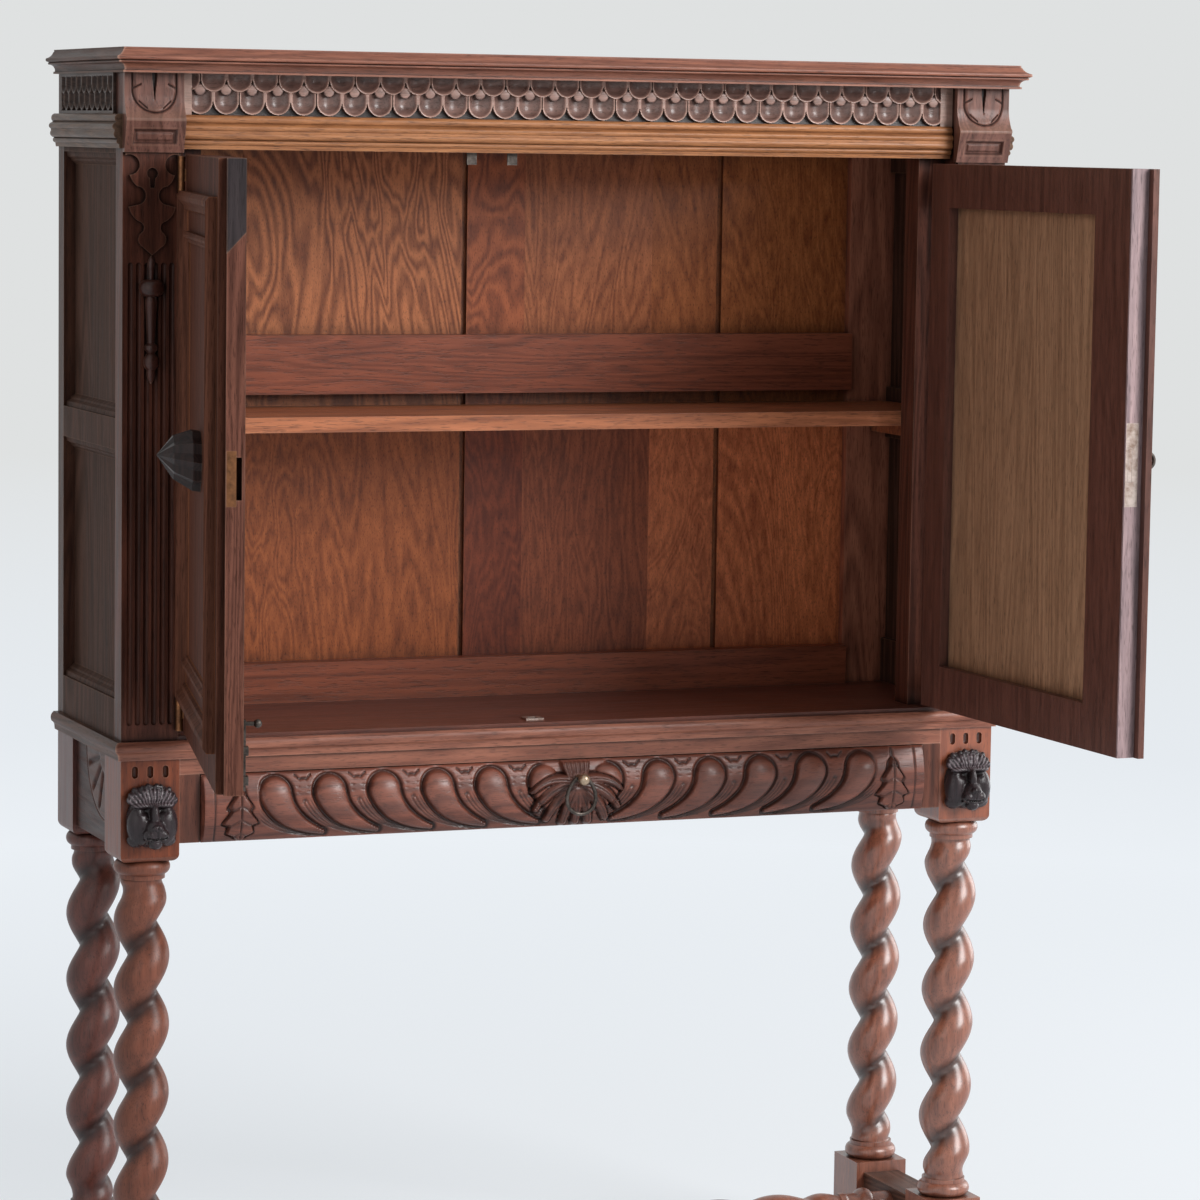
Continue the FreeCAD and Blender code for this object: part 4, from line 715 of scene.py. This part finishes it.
def friezeFace(x, z):
    f = friezeCarving
    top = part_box("frieze_front")[1].z * 1000
    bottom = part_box("frieze_sides")[0].z * 1000
    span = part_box("fascia_rail")[1].x * 1000 - f["strip"]
    count = int(2 * span / f["pitch"])
    radius = f["pitch"] / 2
    local = (x + count * radius) % f["pitch"] - radius
    offset = (x + count * radius + radius) % f["pitch"] - radius
    disc = np.hypot(offset, z - (top - f["discDrop"])) - f["discRadius"]
    cup = radius - f["gap"]
    # from the back layer to the front one: lower scales, discs, upper scales
    layers = [
        scaleCup(offset, z, bottom + f["lowerRise"], cup, f["rim"], f["lowerLevel"], f["lowerDish"]),
        (disc, f["discLevel"] + f["discDome"] * domed(disc, f["discRadius"]),
         0.2 - 0.9 * line(disc + 0.3, 0.9)),
        scaleCup(local, z, top - f["upperDrop"], cup, f["rim"], f["upperLevel"], f["upperDish"]),
    ]
    height = np.full(x.shape, f["floor"])
    # painted shade on the ground between the scales and in the cut round each disc
    tone = np.full(x.shape, -1.0)
    for edge, level, shade in layers:
        height = np.where(edge < 0, level, height)
        tone = np.where(edge < 0, shade, tone)
    within = np.abs(x) < span
    height = np.where(within, height, f["stripLevel"])
    tone = np.where(within, tone, f["stripTone"])
    below = z < bottom
    return np.where(below, 0, height), np.where(below, 0, tone)


def makeFriezeCarving():
    low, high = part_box("frieze_front")
    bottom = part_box("frieze_sides")[0].z
    grid = friezeCarving["grid"] / 1000
    rise = np.concatenate([[low.z, bottom - friezeCarving["step"]], steps(bottom, high.z, grid)])
    face = low.y + friezeCarving["relief"] / 1000
    piece = carvedSlab("scaleFrieze", steps(low.x, high.x, grid), rise, face, high.y, friezeFace)
    dress(piece, finishes["friezeOak"])
    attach(piece, "case")
    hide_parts("frieze_front")


# side friezes: a plain border round two rows of small scales
sideFrieze = {"grid": 0.9, "depth": 30, "pitch": 23, "gap": 0.2, "rows": 2, "rowFall": 0.5,
              "border": 4, "borderLevel": 3.6, "borderEdge": 0.8,
              "level": 3.4, "dish": 4.6, "rim": 1.5, "floor": -1.0}


def sideFriezeFace(y, z):
    s = sideFrieze
    low, high = ((corner.y * 1000, corner.z * 1000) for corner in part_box("frieze_sides"))
    inset = np.minimum(np.minimum(y - low[0], high[0] - y), np.minimum(z - low[1], high[1] - z)) - s["border"]
    drop = (high[1] - low[1] - 2 * s["border"]) / s["rows"]
    radius = s["pitch"] / 2
    height = np.full(y.shape, s["floor"])
    # painted shade on the ground between the scales and in their hollows, none on the border
    tone = np.full(y.shape, -1.0)
    for row in reversed(range(s["rows"])):
        shift = radius if row % 2 else 0
        local = (y - low[0] + shift) % s["pitch"] - radius
        foot = high[1] - s["border"] - (row + 1) * drop
        level = s["level"] - s["rowFall"] * row
        edge, level, shade = scaleCup(local, z, foot, radius - s["gap"], s["rim"], level, s["dish"])
        height = np.where(edge < 0, level, height)
        tone = np.where(edge < 0, shade, tone)
    border = ease(-inset, -s["borderEdge"], s["borderEdge"])
    return height * (1 - border) + s["borderLevel"] * border, tone * (1 - border)


def makeSideFriezes():
    low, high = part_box("frieze_sides")
    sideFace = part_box("rear_post_right")[1].x
    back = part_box("side_rails")[1].x - sideFrieze["depth"] / 1000
    grid = sideFrieze["grid"] / 1000
    for sign, name in ((-1, "sideFriezeLeft"), (1, "sideFriezeRight")):
        piece = carvedSlab(name, steps(low.y, high.y, grid), steps(low.z, high.z, grid), sign * sideFace,
                           sign * back, sideFriezeFace, "side")
        dress(piece, finishes["sideCarvedOak"])
        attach(piece, "case")
        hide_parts("frieze_sides")


# consoles: a leaf cut into a block that flares at foot and head, and a bevelled sunk panel below
consoleCarving = {"grid": 0.7, "proud": 1, "panelHeight": 35, "foot": 17.0, "head": 7.0, "step": 0.1,
                  "leafHalf": 25.5, "leafRound": 25.5, "leafDrop": 9.0, "leafSwell": 1.2, "cut": 1.8,
                  "groove": 4.2, "grooveHalf": 0.7, "grooveSpread": 2.6,
                  "panelBorder": 9, "panelSink": 4.0, "panelRim": 3.0,
                  "fieldRise": 1.6, "fieldEdge": (4.0, 5.5)}


def consoleFace(x, z):
    c = consoleCarving
    low, high = (corner.z * 1000 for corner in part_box("consoles"))
    inner, outer = (corner.x * 1000 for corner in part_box("front_leg_right"))
    off = np.abs(np.abs(x) - (inner + outer) / 2)
    split = low + c["panelHeight"]
    rise = np.clip((z - split) / (high - split), 0, 1)
    flare = np.clip(1 - (rise - 0.05) / 0.5, 0, 1) ** 1.8
    height = c["head"] + (c["foot"] - c["head"]) * flare
    # the foot of the leaf block, which turns up, is paler: a painted highlight
    tone = 0.3 * (1 - ease(rise, 0.0, 0.4))
    # outline of the leaf: two upright lines joined by a half round
    centre = split + c["leafDrop"] + c["leafRound"]
    outline = np.hypot(off, np.minimum(z - centre, 0)) - c["leafHalf"]
    cut = line(outline, 0.9)
    grooveWidth = c["grooveHalf"] + c["grooveSpread"] * ease(z, centre - 12, high)
    groove = ease(grooveWidth - off, 0, 1.2) * ease(z, centre - 14, centre - 10)
    nick = line((z - (centre - 17)) - (13.5 - off) * -0.85, 1.0) * (off > 9) * (off < 19)
    upperNick = line((z - (high - 14)) - (off - 18) * -0.5, 1.0) * (off > 15) * (off < 25)
    marks = np.clip(cut + nick + upperNick, 0, 1)
    height -= c["cut"] * marks + c["groove"] * groove
    height += c["leafSwell"] * ease(-outline, 0, 4) * (rise > 0)
    # painted shade in the cuts, the nicks and the groove
    tone -= 0.95 * np.clip(marks + groove, 0, 1)
    # sunk panel on the lower block
    inset = np.minimum((outer - inner) / 2 - off, np.minimum(z - low, split - z)) - c["panelBorder"]
    panel = c["head"] + (c["foot"] - c["head"]) * (z - low) / c["panelHeight"]
    panel += c["fieldRise"] * ease(inset, *c["fieldEdge"]) - c["panelSink"] * ease(inset, 0, c["panelRim"])
    # painted shade along the sunk panel's inner edge, and a painted highlight on its rim
    shade = -0.55 * line(inset - 1.2, 1.4) + 0.3 * line(inset + 0.8, 0.9)
    below = z < split - c["step"] / 2
    return np.where(below, panel, height) - c["proud"], np.where(below, shade, tone)


def makeConsoles():
    c = consoleCarving
    low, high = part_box("consoles")
    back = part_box("fascia_rail")[0].y
    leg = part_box("front_leg_right")
    grid = c["grid"] / 1000
    split = low.z + c["panelHeight"] / 1000
    rise = np.concatenate([steps(low.z, split - c["step"] / 1000, grid), steps(split, high.z, grid)])
    for sign, name in ((-1, "consoleLeft"), (1, "consoleRight")):
        across = np.sort(sign * steps(leg[0].x, leg[1].x, grid))
        piece = carvedSlab(name, across, rise, back - c["proud"] / 1000, back, consoleFace)
        dress(piece, finishes["consoleOak"])
        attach(piece, "case")
        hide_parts("consoles")


# side aprons: a raised quarter round by the front block with three long gouges, and a sunk ground behind it
sideApron = {"grid": 1.0, "thickness": 22, "level": 4.4, "across": 88, "drop": 84, "edge": 3,
             "gougeDepth": 3.2, "gougeWidth": 3.4, "gougeTurns": (0.3, 0.75, 1.2),
             "beadPlace": 5, "beadWidth": 1.2, "beadDepth": 1.2}


def sideApronFace(y, z):
    s = sideApron
    low, high = ((corner.y * 1000, corner.z * 1000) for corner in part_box("side_aprons"))
    away = np.hypot((y - low[0]) / s["across"], (high[1] - z) / s["drop"])
    angle = np.arctan2((high[1] - z) / s["drop"], (y - low[0]) / s["across"])
    field = ease((1 - away) * s["drop"], 0, s["edge"])
    gouges = sum(line((angle - turn) * away * s["drop"], s["gougeWidth"]) for turn in s["gougeTurns"])
    gouges = gouges * ease(away, 0.25, 0.4) * (1 - ease(away, 0.8, 0.9)) * field
    bead = line((1 - away) * s["drop"] - s["beadPlace"], s["beadWidth"])
    height = s["level"] * field - s["gougeDepth"] * gouges - s["beadDepth"] * bead
    # the raised field is painted lighter, and the gouges, the bead and the sunk ground are painted with shade
    return height, 0.3 * field - 0.9 * gouges - 0.5 * bead - 0.5 * (1 - field)


def makeSideAprons():
    low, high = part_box("side_aprons")
    back = high.x - sideApron["thickness"] / 1000
    grid = sideApron["grid"] / 1000
    for sign, name in ((-1, "sideApronLeft"), (1, "sideApronRight")):
        piece = carvedSlab(name, steps(low.y, high.y, grid), steps(low.z, high.z, grid), sign * high.x,
                           sign * back, sideApronFace, "side")
        dress(piece, finishes["apronOak"])
        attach(piece, "case")
        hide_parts("side_aprons")


makeDrawerCarving()
makeFriezeCarving()
makeSideFriezes()
makeConsoles()
makeSideAprons()
print("carved boards cut")

# lion masks: balls joined and skinned over, then cut back to the block and sculpted, sizes in millimetres
maskCarving = {
    "voxel": 0.95, "level": 643, "segments": 20, "rings": 12, "soften": 0.5, "softenTimes": 2,
    # across, out, up, and the three half-sizes
    "masses": [(0, 2, -4, 29, 15, 33), (0, 4, 22, 28, 10, 13), (0, 20, -15, 12, 15, 14),
               (0, 33, -11, 6.5, 4.2, 4.6), (0, 20, 2, 5.2, 8, 13), (0, 21, -30, 8.5, 8, 6.5),
               (0, 16, 13, 7, 5, 3.4)],
    "pairs": [(15, 8, -10, 15, 13, 24), (13, 13.5, 13, 13, 5.5, 3.4), (7.5, 25, -19, 7.8, 9, 7.5),
              (9.5, 13.5, 4.5, 3.2, 3.0, 2.2), (18, 5, -27, 11, 9, 9)],
    # rows of tufts on the cap: count, half width, out, middle height, fall at the ends, three half-sizes
    "tufts": [(9, 20, 7, 33, 5, 3.2, 4.4, 4.4), (11, 25, 10, 26.5, 4, 3.2, 4.6, 4.6),
              (11, 27, 11.5, 20, 2, 3.2, 4.6, 4.6)],
    # what is pressed in: eyes, nostrils, lips and the strands of the mane
    "eye": (10, 6.5), "socket": 5.5, "socketDepth": 3.4, "nostril": (3.2, -13),
    "nostrilSize": 1.4, "nostrilDepth": 2.2, "mouth": -24, "mouthHalf": 12, "lipTop": -8, "lipDepth": 3.4,
    "strand": 0.7, "strandCount": 46, "maneLine": (13, 17),
}


def addBall(across, out, rise, sizes, tilt=0):
    m = maskCarving
    bpy.ops.mesh.primitive_uv_sphere_add(segments=m["segments"], ring_count=m["rings"], radius=0.001)
    ball = bpy.context.object
    place = Matrix.Translation((across / 1000, -out / 1000, rise / 1000))
    ball.data.transform(place @ Matrix.Rotation(tilt, 4, "Y") @ Matrix.Diagonal((*sizes, 1)))
    return ball


def maskBalls():
    m = maskCarving
    balls = [addBall(*mass[:3], mass[3:]) for mass in m["masses"]]
    balls += [addBall(sign * pair[0], *pair[1:3], pair[3:]) for pair in m["pairs"] for sign in (-1, 1)]
    for count, reach, out, level, fall, *sizes in m["tufts"]:
        for number in range(count):
            part = 2 * number / (count - 1) - 1
            swing = math.sin(number * 2.3 + level)
            rise = level - fall * part * part + 1.2 * swing
            tilt = 0.5 * part + 0.3 * swing
            balls.append(addBall(reach * part, out + swing - 3 * part * part, rise, sizes, tilt))
    return balls


def skinMask(mask):
    m = maskCarving
    skin = mask.modifiers.new("skin", "REMESH")
    skin.mode = "VOXEL"
    skin.voxel_size = m["voxel"] / 1000
    bpy.ops.object.modifier_apply(modifier=skin.name)
    soften = mask.modifiers.new("soften", "SMOOTH")
    soften.factor = m["soften"]
    soften.iterations = m["softenTimes"]
    bpy.ops.object.modifier_apply(modifier=soften.name)
    bpy.ops.object.mode_set(mode="EDIT")
    bpy.ops.mesh.select_all(action="SELECT")
    bpy.ops.mesh.bisect(plane_co=(0, 0, 0), plane_no=(0, 1, 0), use_fill=True, clear_outer=True)
    bpy.ops.object.mode_set(mode="OBJECT")


def sculptMask(mask, place):
    # eyes, nostrils, mouth and the strands of the mane are pressed in and darkened with painted shade, and
    # the raised hair is made paler
    m = maskCarving
    points = meshPoints(mask) * 1000
    across, out, rise = points[:, 0], -points[:, 1], points[:, 2]
    off = np.abs(across)
    front = ease(out, 2, 6)
    fromEye = np.hypot(off - m["eye"][0], (rise - m["eye"][1]) * 1.7)
    fromNostril = np.hypot(off - m["nostril"][0], rise - m["nostril"][1])
    sunk = m["socketDepth"] * line(fromEye, m["socket"])
    sunk += m["nostrilDepth"] * line(fromNostril, m["nostrilSize"])
    lips = line(rise - m["mouth"] - 0.05 * across ** 2 / 4, 1.4) * (off < m["mouthHalf"])
    lips += 0.6 * line(across, 0.8) * (rise < m["lipTop"]) * (rise > m["mouth"])
    sunk += m["lipDepth"] * lips
    around = np.arctan2(across, rise + 4)
    mane = ease(rise + 0.15 * off, *m["maneLine"])
    strands = (0.5 + 0.5 * np.cos(around * m["strandCount"] + 0.35 * np.sin(rise * 0.5))) * mane
    sunk += m["strand"] * strands
    bright = 0.55 * mane * ease(out, 9, 13)
    tones = np.clip(bright - 0.5 * strands - 0.25 * sunk, -1, 1) * front
    depth = -(out - np.minimum(sunk, np.maximum(out - 1, 0)) * front)
    setPoints(mask, "front", (across + place[0]) / 1000, (depth + place[1]) / 1000, (rise + place[2]) / 1000)
    setTone(mask, tones)


def makeMasks():
    bpy.ops.object.select_all(action="DESELECT")
    balls = maskBalls()
    for ball in balls:
        ball.select_set(True)
    bpy.context.view_layer.objects.active = balls[0]
    bpy.ops.object.join()
    mask = bpy.context.object
    mask.name = "lionMaskLeft"
    skinMask(mask)
    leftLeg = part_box("front_leg_left")
    middle = (leftLeg[0].x + leftLeg[1].x) / 2
    sculptMask(mask, (middle * 1000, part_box("fascia_rail")[0].y * 1000, maskCarving["level"]))
    bpy.ops.object.shade_smooth()
    other = mask.copy()
    other.data = mask.data.copy()
    other.name = "lionMaskRight"
    other.data.transform(Matrix.Translation((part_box("front_leg_right")[0].x - leftLeg[0].x, 0, 0)))
    bpy.context.collection.objects.link(other)
    for piece in (mask, other):
        dress(piece, finishes["maskOak"])
        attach(piece, "case")
        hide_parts("lion_masks")


makeMasks()
print("masks carved")

# studio: a wide pale floor that meets a pale sky, a large soft key from the right, a weak fill and a rim
studio = {"floorRadius": 30, "floorSides": 96, "shade": (244, 247, 250), "roughness": 0.95, "specular": 0.1,
          "ownGlow": 0.62, "clearFrom": 0.8, "clearTo": 3.5,
          # glow of the floor by distance from the object in metres; the last is the sky's too
          "glow": [(0, (246, 251, 255)), (2, (240, 245, 250)), (5, (230, 235, 240)), (14, (223, 225, 225))],
          "key": {"place": (2.6, -3.6, 2.9), "size": 2.2, "power": 190},
          "fill": {"place": (-3.2, -3.0, 2.0), "size": 2.6, "power": 14},
          "rim": {"place": (3.3, 0.7, 1.2), "size": 1.8, "power": 34},
          "aim": (0, 0, 0.95), "sky": 0.30, "skyTint": (0.95, 0.98, 1, 1)}


def seenRays(tree):
    # rays that show the backdrop itself, straight or in a reflection
    path = addNode(tree, "ShaderNodeLightPath", {})
    seen = addMath(tree, "MAXIMUM", path.outputs["Is Camera Ray"], path.outputs["Is Glossy Ray"])
    return addMath(tree, "MAXIMUM", seen, path.outputs["Is Transmission Ray"])


def makeFloor():
    bpy.ops.object.select_all(action="DESELECT")
    bpy.ops.mesh.primitive_circle_add(vertices=studio["floorSides"], radius=studio["floorRadius"],
                                      fill_type="NGON")
    floor = bpy.context.object
    floor.name = "studioFloor"
    finish, tree, shader = startFinish("floorShade")
    shader.inputs["Base Color"].default_value = screenColour(*studio["shade"])
    shader.inputs["Roughness"].default_value = studio["roughness"]
    shader.inputs["Specular IOR Level"].default_value = studio["specular"]
    away = addVector(tree, "LENGTH", addNode(tree, "ShaderNodeTexCoord", {}).outputs["Object"])
    reach = studio["glow"][-1][0]
    stops = [(distance / reach, screenColour(*colour)) for distance, colour in studio["glow"]]
    tint = addRamp(tree, addMath(tree, "DIVIDE", away, reach), stops)
    glow = addNode(tree, "ShaderNodeEmission", {"Color": tint, "Strength": 1.0})
    # far from the object the floor takes the sky's colour, so that no edge shows between them
    share = addRange(tree, away, studio["clearFrom"], studio["clearTo"], studio["ownGlow"], 1)
    mix = addNode(tree, "ShaderNodeMixShader", {0: addMath(tree, "MULTIPLY", seenRays(tree), share),
                                                1: shader.outputs["BSDF"], 2: glow.outputs["Emission"]})
    tree.links.new(mix.outputs["Shader"], tree.nodes["Material Output"].inputs["Surface"])
    dress(floor, finish)


def makeLights():
    for name in ("key", "fill", "rim"):
        lamp = studio[name]
        bpy.ops.object.light_add(type="AREA", location=lamp["place"])
        light = bpy.context.object
        light.name = name + "Light"
        light.data.size = lamp["size"]
        light.data.energy = lamp["power"]
        aim = Vector(studio["aim"]) - Vector(lamp["place"])
        light.rotation_euler = aim.to_track_quat("-Z", "Y").to_euler()


def makeSky():
    sky = bpy.context.scene.world or bpy.data.worlds.new("studioSky")
    bpy.context.scene.world = sky
    sky.use_nodes = True
    tree = sky.node_tree
    tree.nodes.clear()
    light = addNode(tree, "ShaderNodeBackground", {"Color": studio["skyTint"], "Strength": studio["sky"]})
    skyColour = screenColour(*studio["glow"][-1][1])
    backdrop = addNode(tree, "ShaderNodeBackground", {"Color": skyColour, "Strength": 1})
    mix = addNode(tree, "ShaderNodeMixShader", {0: seenRays(tree), 1: light.outputs[0],
                                                2: backdrop.outputs[0]})
    addNode(tree, "ShaderNodeOutputWorld", {"Surface": mix.outputs["Shader"]})
    bpy.context.scene.view_settings.view_transform = "Standard"


makeFloor()
makeLights()
makeSky()

# camera: place and turn fitted to the edges in the photograph
view = {"place": (-1.857, -4.896, 1.420), "lens": 131.0, "sensor": 36, "yaw": 21.66, "pitch": -6.078,
        "roll": 0.833, "farthest": 60}


def makeCamera():
    bpy.ops.object.camera_add(location=view["place"])
    camera = bpy.context.object
    camera.name = "photoCamera"
    camera.data.lens = view["lens"]
    camera.data.sensor_width = view["sensor"]
    camera.data.clip_end = view["farthest"]
    yaw, pitch, roll = (math.radians(view[key]) for key in ("yaw", "pitch", "roll"))
    ahead = Vector((math.sin(yaw) * math.cos(pitch), math.cos(yaw) * math.cos(pitch), math.sin(pitch)))
    level = Vector((math.cos(yaw), -math.sin(yaw), 0))
    rise = level.cross(ahead)
    right = math.cos(roll) * level + math.sin(roll) * rise
    top = -math.sin(roll) * level + math.cos(roll) * rise
    turn = Matrix((right, top, -ahead)).transposed()
    camera.matrix_world = Matrix.Translation(view["place"]) @ turn.to_4x4()
    bpy.context.scene.camera = camera


makeCamera()
print("studio and camera set")
